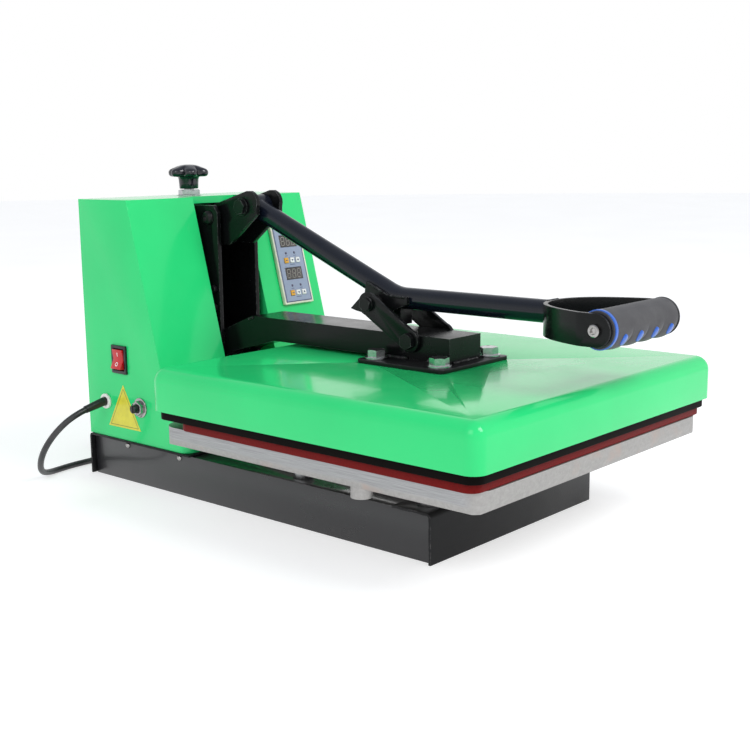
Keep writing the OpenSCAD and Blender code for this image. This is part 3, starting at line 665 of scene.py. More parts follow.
@dataclass(frozen=True)
class PrintedFilm(Finish):
    """Printed overlay of the control panel, with a fine matt grain."""

    def build(self) -> bpy.types.Material:
        """Builds the printed finish.

        Returns:
            The finished material.
        """
        material, kit, shader, coords = self.begin()
        shader.inputs["Coat Weight"].default_value = 0.35
        shader.inputs["Coat Roughness"].default_value = 0.25
        fade = kit.spread(kit.noise(coords, 24.0, 4.0), 0.35, 0.7)
        pale = tuple(min(1.0, c * 1.18) for c in self.colour)
        fleck = kit.spread(kit.noise(coords, 1400.0, 2.0), 0.35, 0.65)
        ink = kit.mix(fleck, self.colour, tuple(c * 0.88 for c in self.colour))
        kit.link(kit.mix(kit.math("MULTIPLY", fade, 0.6), ink, pale), shader.inputs["Base Color"])
        self.bump(kit, shader, fleck, 0.00002)
        return material


def all_finishes() -> dict[str, Finish]:
    """Lists every finish of the press by name.

    Returns:
        The finishes, keyed by their own names.
    """
    grey = (0.33, 0.35, 0.36)
    rack = (
        SprayedPaint(
            "black_gloss", Slot.BLACK_PAINT, (0.0045, 0.005, 0.0055), 0.2, ripple=0.9, wear_and_highlight=0.35, coat=0.0,
            specular=0.2, dust=0.02,
        ),
        SprayedPaint(
            "black_satin", Slot.BLACK_PAINT, (0.005, 0.0052, 0.006), 0.3, ripple=0.5, wear_and_highlight=0.45, coat=0.0,
            specular=0.22, dust=0.02,
        ),
        # The navy tint of this near-black colour is a painted reflection of the sky on the tube.
        SprayedPaint(
            "tube_gloss", Slot.BLACK_PAINT, (0.004, 0.006, 0.013), 0.16, ripple=0.4, wear_and_highlight=0.25, coat=0.15,
            specular=0.3, dust=0.02,
        ),
        SprayedPaint(
            "rail_paint", Slot.BLACK_PAINT, (0.010, 0.010, 0.012), 0.27, ripple=0.8, wear_and_highlight=0.5, coat=0.2,
            specular=0.6, dust=0.06,
        ),
        SprayedPaint(
            "green_gloss", Slot.GREEN_PAINT, (0.024, 0.65, 0.19), 0.12, peel=0.35, ripple=0.5, wear_and_highlight=0.0,
            dust=0.02, coat=0.2, specular=0.25, depth=0.00003,
        ),
        CastPlate(
            "cast_plate", Slot.CAST_ALUMINIUM, (0.7, 0.69, 0.68), 0.5,
            ground_from=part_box("lower_plate")[1].z - 11.5 * MM, ground_face=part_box("lower_plate")[0].x,
        ),
        BareMetal("drawn_steel", Slot.STEEL, (0.55, 0.56, 0.57), 0.32, grain=Grain.X),
        BareMetal("turned_steel", Slot.STEEL, (0.52, 0.53, 0.54), 0.34, grain=Grain.NONE, stain=0.45),
        BareMetal(
            "zinc_plate", Slot.ZINC, (0.55, 0.57, 0.58), 0.2, streak=0.3, stain=0.12, stain_colour=grey,
        ),
        BareMetal("nickel_plate", Slot.NICKEL, (0.46, 0.45, 0.44), 0.14, streak=0.3, stain=0.1),
        BareMetal(
            "element_sheath", Slot.ELEMENT, (0.40, 0.36, 0.32), 0.45, stain=0.7,
            stain_colour=(0.16, 0.1, 0.07),
        ),
        SoftRubber(
            "silicone_red", Slot.SILICONE, (0.14, 0.004, 0.004), 0.42, pores=520.0, sheen=0.0,
            bloom=(0.17, 0.012, 0.01), specular=0.08,
        ),
        SprayedPaint(
            "release_coating", Slot.PLATEN_COATING, (0.0045, 0.0035, 0.0032), 0.46, ripple=0.3, wear_and_highlight=0.12,
            coat=0.0,
            bare_and_highlight=(0.3, 0.26, 0.24), specular=0.03, dust=0.0,
        ),
        WoolFibre("wool_mat", Slot.WOOL, (0.80, 0.76, 0.68), 0.95),
        Moulding("cream_shell", Slot.CREAM_PLASTIC, (0.84, 0.82, 0.67), 0.4, scuff=0.1),
        PrintedFilm("panel_film", Slot.PANEL_PRINT, (0.27, 0.32, 0.45), 0.42),
        PrintedFilm("panel_outline", Slot.PANEL_PRINT, (0.03, 0.045, 0.13), 0.42),
        PrintedFilm("panel_ink", Slot.PANEL_PRINT, (0.05, 0.06, 0.14), 0.5),
        Moulding(
            "display_window", Slot.DISPLAY, (0.035, 0.027, 0.024), 0.12, coat=0.8, scuff=0.05,
            depth=0.000005,
        ),
        Moulding("display_segment", Slot.DISPLAY, (0.27, 0.25, 0.23), 0.4, scuff=0.0),
        Moulding("lamp_lens", Slot.LAMP, (0.10, 0.09, 0.16), 0.15, coat=0.6, scuff=0.0),
        Moulding("board_laminate", Slot.BOARD, (0.03, 0.22, 0.08), 0.35, scuff=0.3),
        Moulding("relay_case", Slot.RELAY, (0.80, 0.80, 0.76), 0.45),
        Moulding("black_moulding", Slot.BLACK_PLASTIC, (0.012, 0.012, 0.014), 0.34, scuff=0.2),
        Moulding("white_nylon", Slot.WHITE_PLASTIC, (0.86, 0.86, 0.82), 0.36, scuff=0.1),
        Moulding(
            "red_rocker", Slot.RED_PLASTIC, (0.55, 0.004, 0.01), 0.18, coat=0.2, scuff=0.1, depth=0.00001,
        ),
        Moulding("mark_white", Slot.WHITE_PLASTIC, (0.92, 0.9, 0.88), 0.5, scuff=0.0),
        Moulding(
            "sticker_yellow", Slot.YELLOW_BUTTON, (0.72, 0.66, 0.03), 0.38, scuff=0.05, coat=0.3,
            depth=0.00001,
        ),
        Moulding(
            "sticker_edge", Slot.YELLOW_BUTTON, (0.20, 0.24, 0.02), 0.38, scuff=0.0, coat=0.3,
            depth=0.00001,
        ),
        SoftRubber(
            "cord_sheath", Slot.CORD_PVC, (0.014, 0.014, 0.016), 0.4, pores=1600.0, depth=0.00003,
            sheen=0.1,
        ),
        # The blue tint of this near-black colour is a painted reflection of the sky on the knob.
        Moulding("knob_bakelite", Slot.KNOB_PLASTIC, (0.004, 0.005, 0.01), 0.2, coat=0.25, depth=0.00001),
        SoftRubber(
            "grip_rubber", Slot.GRIP_FOAM, (0.026, 0.025, 0.030), 0.62, pores=1500.0, depth=0.0001,
            sheen=0.12,
        ),
        Moulding("grip_blue", Slot.BLUE_PLASTIC, (0.018, 0.12, 0.55), 0.3, coat=0.3, scuff=0.15),
        Moulding("button_yellow", Slot.YELLOW_BUTTON, (0.85, 0.42, 0.03), 0.35, scuff=0.2),
        Moulding("button_white", Slot.WHITE_BUTTON, (0.88, 0.88, 0.88), 0.35, scuff=0.1),
    )
    return {finish.name: finish for finish in rack}


class FinishRack:
    """Builds each finish when a piece first asks for it."""

    def __init__(self) -> None:
        """Keeps the list of finishes and an empty rack."""
        self.finishes = all_finishes()
        self.ready: dict[str, bpy.types.Material] = {}

    def material(self, name: str) -> bpy.types.Material:
        """Gives a finish's material, made once.

        Args:
            name: The finish's name.

        Returns:
            The material.
        """
        if name not in self.ready:
            self.ready[name] = self.finishes[name].build()
        return self.ready[name]

    def slot(self, name: str) -> str:
        """Gives the record's slot that a finish belongs to.

        Args:
            name: The finish's name.

        Returns:
            The slot's name.
        """
        return self.finishes[name].slot.value


RACK = FinishRack()


# ---------------------------------------------------------------- shaping tools


def turned_to(direction: Vector, place: Vector | Point) -> Matrix:
    """Gives the matrix that points +Z along a direction, at a place.

    Args:
        direction: Where +Z goes.
        place: Where the origin goes, in metres.

    Returns:
        The matrix.
    """
    turn = direction.normalized().to_track_quat("Z", "Y").to_matrix().to_4x4()
    return Matrix.Translation(Vector(place)) @ turn


def body_of_node(node: str) -> str:
    """Gives the name of the CAD body that a node rides on.

    Args:
        node: The CAD node's name.

    Returns:
        The body's name.
    """
    return frame["nodes"][node]["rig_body"]


def put(
    bm: bmesh.types.BMesh, name: str, body: str, finish: str,
    replaced: Sequence[str] = (), angle: float = 32.0
) -> bpy.types.Object:
    """Turns a bmesh into a finished piece that rides on a body.

    Args:
        bm: The mesh, in metres, in its place. It is freed.
        name: The piece's name.
        body: The CAD body that it rides on.
        finish: The name of its finish.
        replaced: The CAD nodes that it stands for.
        angle: Edges that turn more than this many degrees stay crisp.

    Returns:
        The new object.
    """
    bmesh.ops.recalc_face_normals(bm, faces=bm.faces)
    for face in bm.faces:
        face.smooth = True
    mesh = bpy.data.meshes.new(name)
    bm.to_mesh(mesh)
    bm.free()
    mesh.set_sharp_from_angle(angle=math.radians(angle))
    mesh.materials.append(RACK.material(finish))
    piece = bpy.data.objects.new(name, mesh)
    bpy.context.scene.collection.objects.link(piece)
    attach(piece, body)
    RACK.slot(finish)
    if replaced:
        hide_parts(*replaced)
    LOG.info("%s: %d faces, %s, on %s", name, len(mesh.polygons), finish, body)
    return piece


def merged_copy(node: str) -> bmesh.types.BMesh:
    """Copies a CAD node's mesh, joins its loose triangles and clears its flat faces.

    Args:
        node: The node's name.

    Returns:
        A bmesh of the copy.
    """
    bm = bmesh.new()
    bm.from_mesh(frame["nodes"][node].data)
    for layer in list(bm.loops.layers.uv):
        bm.loops.layers.uv.remove(layer)
    bmesh.ops.remove_doubles(bm, verts=bm.verts, dist=0.002 * MM)
    bmesh.ops.dissolve_limit(bm, angle_limit=math.radians(0.3), verts=bm.verts, edges=bm.edges)
    return bm


def ease_edges(
    bm: bmesh.types.BMesh,
    width: float,
    segments: int = 2,
    angle: float = 30.0,
    where: Callable[[bmesh.types.BMEdge], bool] | None = None,
) -> None:
    """Rounds the outer edges of a mesh.

    Args:
        bm: The mesh.
        width: Width of the rounding in millimetres.
        segments: Steps round each edge.
        angle: Only edges that turn more than this many degrees are rounded.
        where: A further test that an edge has to pass.
    """
    limit = math.radians(angle)
    edges = [
        edge
        for edge in bm.edges
        if len(edge.link_faces) == 2
        and edge.is_convex
        and edge.calc_face_angle(0.0) > limit
        and (where is None or where(edge))
    ]
    bmesh.ops.bevel(
        bm, geom=edges, offset=width * MM, offset_type="OFFSET", segments=segments, profile=0.5,
        affect="EDGES", clamp_overlap=True, material=-1,
    )


def soften(
    node: str,
    finish: str,
    width: float = 0.5,
    segments: int = 2,
    angle: float = 30.0,
    name: str | None = None,
    where: Callable[[bmesh.types.BMEdge], bool] | None = None,
) -> bpy.types.Object:
    """Makes a piece from a CAD node, with its outer edges rounded.

    Args:
        node: The CAD node.
        finish: The name of its finish.
        width: Width of the rounding in millimetres.
        segments: Steps round each edge.
        angle: Only edges that turn more than this many degrees are rounded.
        name: The piece's name, or None for one after the node.
        where: A further test that a rounded edge has to pass.

    Returns:
        The piece, which replaces the node.
    """
    bm = merged_copy(node)
    ease_edges(bm, width, segments, angle, where)
    return put(bm, name or f"{node}_finished", body_of_node(node), finish, [node])


def lathe(
    bm: bmesh.types.BMesh,
    profile: Sequence[tuple[float, float]],
    matrix: Matrix,
    steps: int = 48,
    lobe: Callable[[float, float, float], float] | None = None,
) -> list[bmesh.types.BMVert]:
    """Spins a profile of (radius, height) in millimetres round +Z into a closed shape.

    Args:
        bm: The mesh that it is added to.
        profile: The profile, which starts and ends on the axis unless it is a ring.
        matrix: Places the shape.
        steps: Steps round the axis.
        lobe: Gives a point's new radius from (angle, radius, height), for lobed shapes.

    Returns:
        The new vertices.
    """
    old = set(bm.verts)
    verts = [bm.verts.new((radius * MM, 0.0, height * MM)) for radius, height in profile]
    edges = [bm.edges.new(pair) for pair in zip(verts, verts[1:])]
    bmesh.ops.spin(
        bm, geom=verts + edges, cent=(0, 0, 0), axis=(0, 0, 1), dvec=(0, 0, 0), angle=math.tau, steps=steps,
        use_merge=True, use_normal_flip=False, use_duplicate=False,
    )
    made = [vert for vert in bm.verts if vert not in old]
    bmesh.ops.remove_doubles(bm, verts=made, dist=0.001 * MM)
    made = [vert for vert in bm.verts if vert not in old]
    if lobe is not None:
        for vert in made:
            radius = math.hypot(vert.co.x, vert.co.y)
            if radius > 0.01 * MM:
                scale = lobe(math.atan2(vert.co.y, vert.co.x), radius / MM, vert.co.z / MM) * MM / radius
                vert.co.x, vert.co.y = vert.co.x * scale, vert.co.y * scale
    bmesh.ops.transform(bm, matrix=matrix, verts=made)
    return made


def prism(
    bm: bmesh.types.BMesh, outline: Sequence[tuple[float, float]], low: float, high: float, matrix: Matrix
) -> list[bmesh.types.BMVert]:
    """Raises a flat outline in millimetres into a closed block.

    Args:
        bm: The mesh that it is added to.
        outline: The corners, in order.
        low: Height of the bottom.
        high: Height of the top.
        matrix: Places the block.

    Returns:
        The new vertices.
    """
    base = [bm.verts.new((x * MM, y * MM, low * MM)) for x, y in outline]
    face = bm.faces.new(base)
    raised = bmesh.ops.extrude_face_region(bm, geom=[face], use_keep_orig=True)["geom"]
    top = [item for item in raised if isinstance(item, bmesh.types.BMVert)]
    bmesh.ops.translate(bm, verts=top, vec=(0.0, 0.0, (high - low) * MM))
    bmesh.ops.transform(bm, matrix=matrix, verts=base + top)
    return base + top


def round_box(width: float, height: float, radius: float, steps: int = 6) -> list[tuple[float, float]]:
    """Gives the outline of a rectangle with round corners, centred.

    Args:
        width: Its width.
        height: Its height.
        radius: Radius of its corners.
        steps: Steps round each corner.

    Returns:
        The corners in order.
    """
    points = []
    for index, (sx, sy) in enumerate(((1, 1), (-1, 1), (-1, -1), (1, -1))):
        for step in range(steps + 1):
            turn = math.pi / 2 * (index + step / steps)
            x = sx * (width / 2 - radius) + radius * math.cos(turn)
            y = sy * (height / 2 - radius) + radius * math.sin(turn)
            points.append((x, y))
    return points


def hexagon(across: float) -> list[tuple[float, float]]:
    """Gives a hexagon's corners from its width across the flats.

    Args:
        across: The width across the flats in millimetres.

    Returns:
        The six corners in millimetres, anticlockwise.
    """
    reach = across / math.sqrt(3)
    return [(reach * math.cos(math.pi / 3 * k), reach * math.sin(math.pi / 3 * k)) for k in range(6)]


def hex_bolt(
    bm: bmesh.types.BMesh, matrix: Matrix, across: float, height: float, washer: float,
    thick: float, turn: float = 0.0
) -> None:
    """Adds a bolt head with chamfered corners, standing on a flat washer.

    Args:
        bm: The mesh that it is added to.
        matrix: Places the washer's underside, with the head along +Z.
        across: The head's width across its flats.
        height: The head's height.
        washer: The washer's diameter.
        thick: The washer's thickness.
        turn: Degrees that the head is turned by.
    """
    rim = washer / 2
    lathe(
        bm, [(0, 0), (rim - 0.25, 0), (rim, 0.25), (rim, thick - 0.3), (rim - 0.3, thick), (0, thick)],
        matrix, 48,
    )
    body = bmesh.new()
    corner = across / math.sqrt(3)
    prism(body, hexagon(across), thick, thick + height, Matrix.Rotation(math.radians(turn), 4, "Z"))
    bmesh.ops.subdivide_edges(body, edges=body.edges, cuts=5, use_grid_fill=True)
    for vert in body.verts:
        radius = math.hypot(vert.co.x, vert.co.y) / MM
        level = vert.co.z / MM
        drop = max(0.0, radius - across / 2 * 0.97) * 0.42
        if level > thick + height * 0.99:
            vert.co.z = (thick + height - drop) * MM
    face = [f for f in body.faces if f.normal.z > 0.9 and f.calc_center_median().length < corner * 0.4 * MM]
    bmesh.ops.inset_region(body, faces=face, thickness=0.5 * MM, depth=-0.15 * MM)
    bmesh.ops.transform(body, matrix=matrix, verts=body.verts)
    join(bm, body)


def join(bm: bmesh.types.BMesh, other: bmesh.types.BMesh) -> None:
    """Adds one mesh to another and frees it.

    Args:
        bm: The mesh that grows.
        other: The mesh that is added.
    """
    mesh = bpy.data.meshes.new("joined")
    bmesh.ops.recalc_face_normals(other, faces=other.faces)
    other.to_mesh(mesh)
    other.free()
    bm.from_mesh(mesh)
    bpy.data.meshes.remove(mesh)


def swept(
    bm: bmesh.types.BMesh, path: Sequence[Vector], radius: Callable[[int], float], steps: int = 14
) -> None:
    """Sweeps a round section along a path, from rings bridged one to the next.

    Args:
        bm: The mesh that it is added to.
        path: The points, in metres.
        radius: Gives each ring's radius in millimetres.
        steps: Steps round each ring.
    """
    tube = bmesh.new()
    loops, last = [], None
    for index, place in enumerate(path):
        before = path[max(0, index - 1)]
        after = path[min(len(path) - 1, index + 1)]
        along = (after - before).normalized()
        if last is None:
            turn = along.to_track_quat("Z", "Y")
        else:
            turn = last[0].rotation_difference(along) @ last[1]
        last = (along, turn)
        matrix = Matrix.Translation(place) @ turn.to_matrix().to_4x4()
        ring = bmesh.ops.create_circle(
            tube, segments=steps, radius=radius(index) * MM, matrix=matrix,
            cap_ends=index in (0, len(path) - 1)
        )["verts"]
        loops.append([edge for edge in tube.edges if all(vert in ring for vert in edge.verts)])
        if index:
            bmesh.ops.bridge_loops(tube, edges=loops[-2] + loops[-1])
    join(bm, tube)


def weld_bead(
    bm: bmesh.types.BMesh, start: Point, end: Point, bow: Point = (0, 0, 0), size: float = 1.9,
) -> None:
    """Lays a rippled weld bead along a seam.

    Args:
        bm: The mesh that it is added to.
        start: Where it starts, in millimetres.
        end: Where it ends.
        bow: How far its middle is carried aside.
        size: The bead's radius.
    """
    first, last, side = Vector(start) * MM, Vector(end) * MM, Vector(bow) * MM
    count = max(8, int((last - first).length / (0.7 * MM)))
    path = []
    for k in range(count + 1):
        part = k / count
        path.append(first.lerp(last, part) + side * (4 * part * (1 - part)))
    swept(bm, path, lambda k: size * (0.55 if k in (0, count) else 0.9 + 0.14 * math.sin(k * 1.9)), 10)


def farthest(node: str, direction: Vector) -> float:
    """Measures how far a CAD node reaches along a direction, in metres.

    Args:
        node: The CAD node's name.
        direction: The direction, of length 1.

    Returns:
        The greatest reach in metres.
    """
    return max(direction.dot(vert.co) for vert in frame["nodes"][node].data.vertices)


def dress(node: str, finish: str) -> None:
    """Gives a CAD node its finish, without changing its shape.

    Args:
        node: The node.
        finish: The name of its finish.
    """
    mesh = frame["nodes"][node].data
    material = RACK.material(finish)
    if mesh.materials:
        for index in range(len(mesh.materials)):
            mesh.materials[index] = material
    else:
        mesh.materials.append(material)
    LOG.info("%s: CAD shape kept, %s", node, finish)


# ---------------------------------------------------------------- camera and cord


@dataclass
class Studio:
    """Camera, pale floor and soft light."""

    place: Point = (-0.9260, -0.8224, 0.3639)
    right: Point = (0.66004, -0.75120, -0.01081)
    up: Point = (0.14534, 0.11356, 0.98284)
    ahead: Point = (0.73705, 0.65026, -0.18412)
    lens: float = 57.34
    front_watts: float = 47.0
    left_watts: float = 17.0
    floor_glow: float = 0.55

    def set_camera(self) -> None:
        """Makes the scene's camera."""
        data = bpy.data.cameras.new("studio_camera")
        data.lens = self.lens
        data.sensor_width = 36.0
        data.clip_start = 0.02
        data.clip_end = 60.0
        camera = bpy.data.objects.new("studio_camera", data)
        columns = [Vector(self.right), Vector(self.up), -Vector(self.ahead)]
        turn = Matrix(columns).transposed().to_4x4()
        camera.matrix_world = Matrix.Translation(self.place) @ turn
        bpy.context.scene.collection.objects.link(camera)
        bpy.context.scene.camera = camera

    def lamp(self, name: str, place: Point, aim: Point, size: float, power: float) -> None:
        """Adds a large soft lamp.

        Args:
            name: The lamp's name.
            place: Where it stands.
            aim: The point that it faces.
            size: Its width.
            power: Its power in watts.
        """
        data = bpy.data.lights.new(name, "AREA")
        data.shape = "SQUARE"
        data.size = size
        data.energy = power
        lamp = bpy.data.objects.new(name, data)
        turn = (Vector(aim) - Vector(place)).to_track_quat("-Z", "Y").to_matrix().to_4x4()
        lamp.matrix_world = Matrix.Translation(place) @ turn
        bpy.context.scene.collection.objects.link(lamp)

    def light(self) -> None:
        """Lights the press softly from all round, most of all from above and the left."""
        world = bpy.data.worlds.new("studio_light")
        bpy.context.scene.world = world
        world.use_nodes = True
        kit = NodeKit(world.node_tree)
        shade = world.node_tree.nodes["Background"]
        split = kit.add("ShaderNodeSeparateXYZ")
        kit.link(kit.add("ShaderNodeTexCoord").outputs["Generated"], split.inputs[0])
        upward = kit.spread(split.outputs["Z"], 0.22, 0.7)
        kit.link(kit.mix(upward, (1.0, 1.0, 1.0), (0.50, 0.53, 0.58)), shade.inputs["Color"])
        shade.inputs["Strength"].default_value = 1.0
        self.lamp("lamp_front", (0.5, -2.2, 2.3), (0.0, 0.0, 0.15), 1.3, self.front_watts)
        self.lamp("lamp_left", (-2.3, -0.7, 2.0), (0.0, 0.0, 0.2), 1.5, self.left_watts)

    def floor(self) -> None:
        """Lays the pale floor under the press."""
        bm = bmesh.new()
        bmesh.ops.create_circle(bm, segments=96, radius=9.0, cap_ends=True)
        mesh = bpy.data.meshes.new("studio_floor")
        bm.to_mesh(mesh)
        bm.free()
        material = bpy.data.materials.new("studio_floor")
        material.use_nodes = True
        kit = NodeKit(material.node_tree)
        shader = material.node_tree.nodes["Principled BSDF"]
        shader.inputs["Roughness"].default_value = 0.9
        shader.inputs["Specular IOR Level"].default_value = 0.1
        shader.inputs["Emission Color"].default_value = (1.0, 1.0, 1.0, 1.0)
        shader.inputs["Emission Strength"].default_value = self.floor_glow
        coords = kit.add("ShaderNodeTexCoord").outputs["Object"]
        tone = kit.spread(kit.noise(coords, 3.0, 2.0), 0.3, 0.7)
        kit.link(kit.mix(tone, (0.60, 0.60, 0.60), (0.64, 0.64, 0.64)), shader.inputs["Base Color"])
        mesh.materials.append(material)
        floor = bpy.data.objects.new("studio_floor", mesh)
        bpy.context.scene.collection.objects.link(floor)


@dataclass
class PowerLead:
    """The mains lead: strain relief, run to the floor, tied coil and plug."""

    thick: float = 7.0
    exit: Point = (-154.5, 284.0, 85.1)
    run: tuple[Point, ...] = (
        (-154.5, 284, 85.1), (-162, 284, 83.4), (-172, 284.6, 80.2), (-183, 287, 74.5), (-192, 291.5, 66),
        (-198.5, 298, 55.5), (-202, 305.5, 44), (-202.5, 313.5, 32), (-199.5, 321.5, 21),
        (-193.5, 329.5, 12.5),
        (-185, 336.5, 7), (-174, 342.5, 4.3), (-161, 347, 3.5), (-146, 350, 3.5), (-130, 351.7, 3.5),
        (-112, 352, 3.5), (-90, 352, 3.5), (-66, 352, 3.5), (-42, 352, 3.5),
    )
    tail: tuple[Point, ...] = (
        (6, 347.8, 11.4), (18, 347.2, 8.6), (28, 347, 6.4), (38, 347, 6.2), (47, 347, 8), (56, 347, 11),
    )
    centre: tuple[float, float] = (-15.0, 392.0)
    inner: float = 36.4
    outer: float = 43.6
    rise: float = 7.15
    turns_in: float = 3.0
    turns_out: float = 1.79
    per_turn: int = 24

    def coil(self) -> list[Point]:
        """Winds the coil: up the inner layer, over, and down the outer one.

        Returns:
            The points, in millimetres.
        """
        cx, cy = self.centre
        points: list[Point] = []
        level = 3.6
        count = int(self.turns_in * self.per_turn)
        for k in range(count + 1):
            turn = -math.pi / 2 + math.tau * k / self.per_turn
            high = level + self.rise * k / self.per_turn
            points.append((cx + self.inner * math.cos(turn), cy + self.inner * math.sin(turn), high))
        top = level + self.rise * self.turns_in
        over = self.per_turn * 5 // 24
        for k in range(1, over + 1):
            part = k / over
            ease = part * part * (3 - 2 * part)
            turn = -math.pi / 2 + math.tau * (count + k) / self.per_turn
            reach = self.inner + (self.outer - self.inner) * ease
            points.append((cx + reach * math.cos(turn), cy + reach * math.sin(turn), top))
        left = int(round(self.turns_out * self.per_turn))
        for k in range(1, left + 1):
            turn = -math.pi / 2 + math.tau * (count + over + k) / self.per_turn
            high = top - self.rise * k / self.per_turn
            points.append((cx + self.outer * math.cos(turn), cy + self.outer * math.sin(turn), high))
        return points

    def route(self) -> list[Vector]:
        """Gives the whole lead's points in metres.

        Returns:
            The points from the strain relief to the plug.
        """
        points = [*self.run, (-28.0, 353.9, 3.5), *self.coil(), *self.tail]
        return [Vector(point) * MM for point in points]

    def length(self, points: Sequence[Vector]) -> float:
        """Measures a route in metres.

        Args:
            points: The route's points in metres.

        Returns:
            The sum of the steps between them in metres.
        """
        return sum((b - a).length for a, b in zip(points, points[1:]))

    def build(self) -> None:
        points = self.route()
        curve = bpy.data.curves.new("mains_lead", "CURVE")
        curve.dimensions = "3D"
        curve.bevel_depth = self.thick / 2 * MM
        curve.bevel_resolution = 5
        curve.use_fill_caps = True
        spline = curve.splines.new("NURBS")
        spline.points.add(len(points) - 1)
        for spot, place in zip(spline.points, points):
            spot.co = (*place, 1.0)
        spline.order_u = 3
        spline.use_endpoint_u = True
        spline.resolution_u = 4
        curve.materials.append(RACK.material("cord_sheath"))
        lead = bpy.data.objects.new("mains_lead", curve)
        bpy.context.scene.collection.objects.link(lead)
        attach(lead, "root")
        RACK.slot("cord_sheath")
        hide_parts("power_cord", "cord_coil")
        plug, pins = self.plug()
        tie = self.tie()
        tuple(c * MM for c in self.exit)
        round(self.length(points), 3)
        LOG.info("mains_lead: %.3f m", self.length(points))

    def tie(self) -> bpy.types.Object:
        """Builds the wire tie that holds the coil, on the side away from the plug.

        Returns:
            The finished wire tie.
        """
        bm = bmesh.new()
        cx, cy = self.centre
        turn = math.radians(60)
        middle = (self.inner + self.outer) / 2
        spot = Vector((cx + middle * math.cos(turn), cy + middle * math.sin(turn), 14.5)) * MM
        out = Vector((math.cos(turn), math.sin(turn), 0.0))
        path = []
        for k in range(33):
            part = math.tau * k / 32
            path.append(
                spot + out * (8.6 * MM * math.cos(part)) + Vector((0, 0, 12.9 * MM * math.sin(part)))
            )
        swept(bm, path, lambda index: 1.1, 8)
        return put(bm, "lead_tie", "root", "black_moulding")

    def plug(self) -> tuple[bpy.types.Object, bpy.types.Object]:
        """Builds the plug's moulded body with its grip ribs, and its pins.

        Returns:
            The body and the pins.
        """
        low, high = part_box("power_plug")
        deck = low.z + 22 * MM
        middle = (low.y + high.y) / 2
        full = merged_copy("power_plug")
        shell = full.copy()
        for mesh, keep_top in ((shell, False), (full, True)):
            bmesh.ops.bisect_plane(
                mesh, geom=mesh.verts[:] + mesh.edges[:] + mesh.faces[:], dist=0.001 * MM,
                plane_co=(0, 0, deck),
                plane_no=(0, 0, 1), clear_outer=not keep_top, clear_inner=keep_top,
            )
            bmesh.ops.delete(mesh, geom=[f for f in mesh.faces
                                         if abs(f.calc_center_median().z - deck) < 0.01 * MM
                                         and abs(f.normal.z) > 0.9], context="FACES")
            bmesh.ops.holes_fill(mesh, edges=[edge for edge in mesh.edges if edge.is_boundary], sides=0)
        ease_edges(shell, 3.0, 4)
        for k in range(5):
            rib = bmesh.new()
            bmesh.ops.create_cube(rib, size=1.0)
            bmesh.ops.scale(rib, verts=rib.verts, vec=(1.6 * MM, 46.6 * MM, 10 * MM))
            ease_edges(rib, 0.6, 2)
            place = (low.x + (8 + 3.4 * k) * MM, middle, low.z + 11 * MM)
            bmesh.ops.translate(rib, verts=rib.verts, vec=place)
            join(shell, rib)
        body = put(shell, "plug_body", "root", "black_moulding", ["power_plug"])
        ease_edges(full, 0.5, 2)
        return body, put(full, "plug_pins", "root", "nickel_plate")


# ---------------------------------------------------------------- sub-assemblies


@dataclass
class BaseFrame:
    """Folded steel base: rails, front channel, deck and cross bars."""

    edge: float = 0.6

    def build(self) -> None:
        """Softens the pressed edges and paints them."""
        for node in ("base_rail_left", "base_rail_right"):
            soften(node, "rail_paint", self.edge, 2)
        soften("base_channel_front", "black_satin", self.edge, 2)
        soften("base_deck", "black_satin", self.edge, 2)
        soften("base_cross_bars", "black_satin", self.edge, 2)
        soften("base_screws", "nickel_plate", 0.4, 2)


@dataclass
class Housing:
    """Green sheet-metal housing with its slanted wings and back panel."""

    fold: float = 2.2

    def build(self) -> None:
        """Rounds the folds and paints the sheets."""
        low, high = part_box("housing")

        def outer_fold(edge: bmesh.types.BMEdge) -> bool:
            """Says whether an edge is one of the long outer folds.

            Args:
                edge: The edge to look at.

            Returns:
                True for a long edge between two large faces.
            """
            return edge.calc_length() > 30 * MM and all(
                face.calc_area() > 600 * MM * MM for face in edge.link_faces
            )

        soften("housing", "green_gloss", self.fold, 4, 40.0, where=outer_fold)
        soften("housing_back_panel", "green_gloss", 0.4, 2)
        soften("housing_screws", "zinc_plate", 0.35, 2)
        LOG.info("housing: %.0f mm wide", (high.x - low.x) / MM)


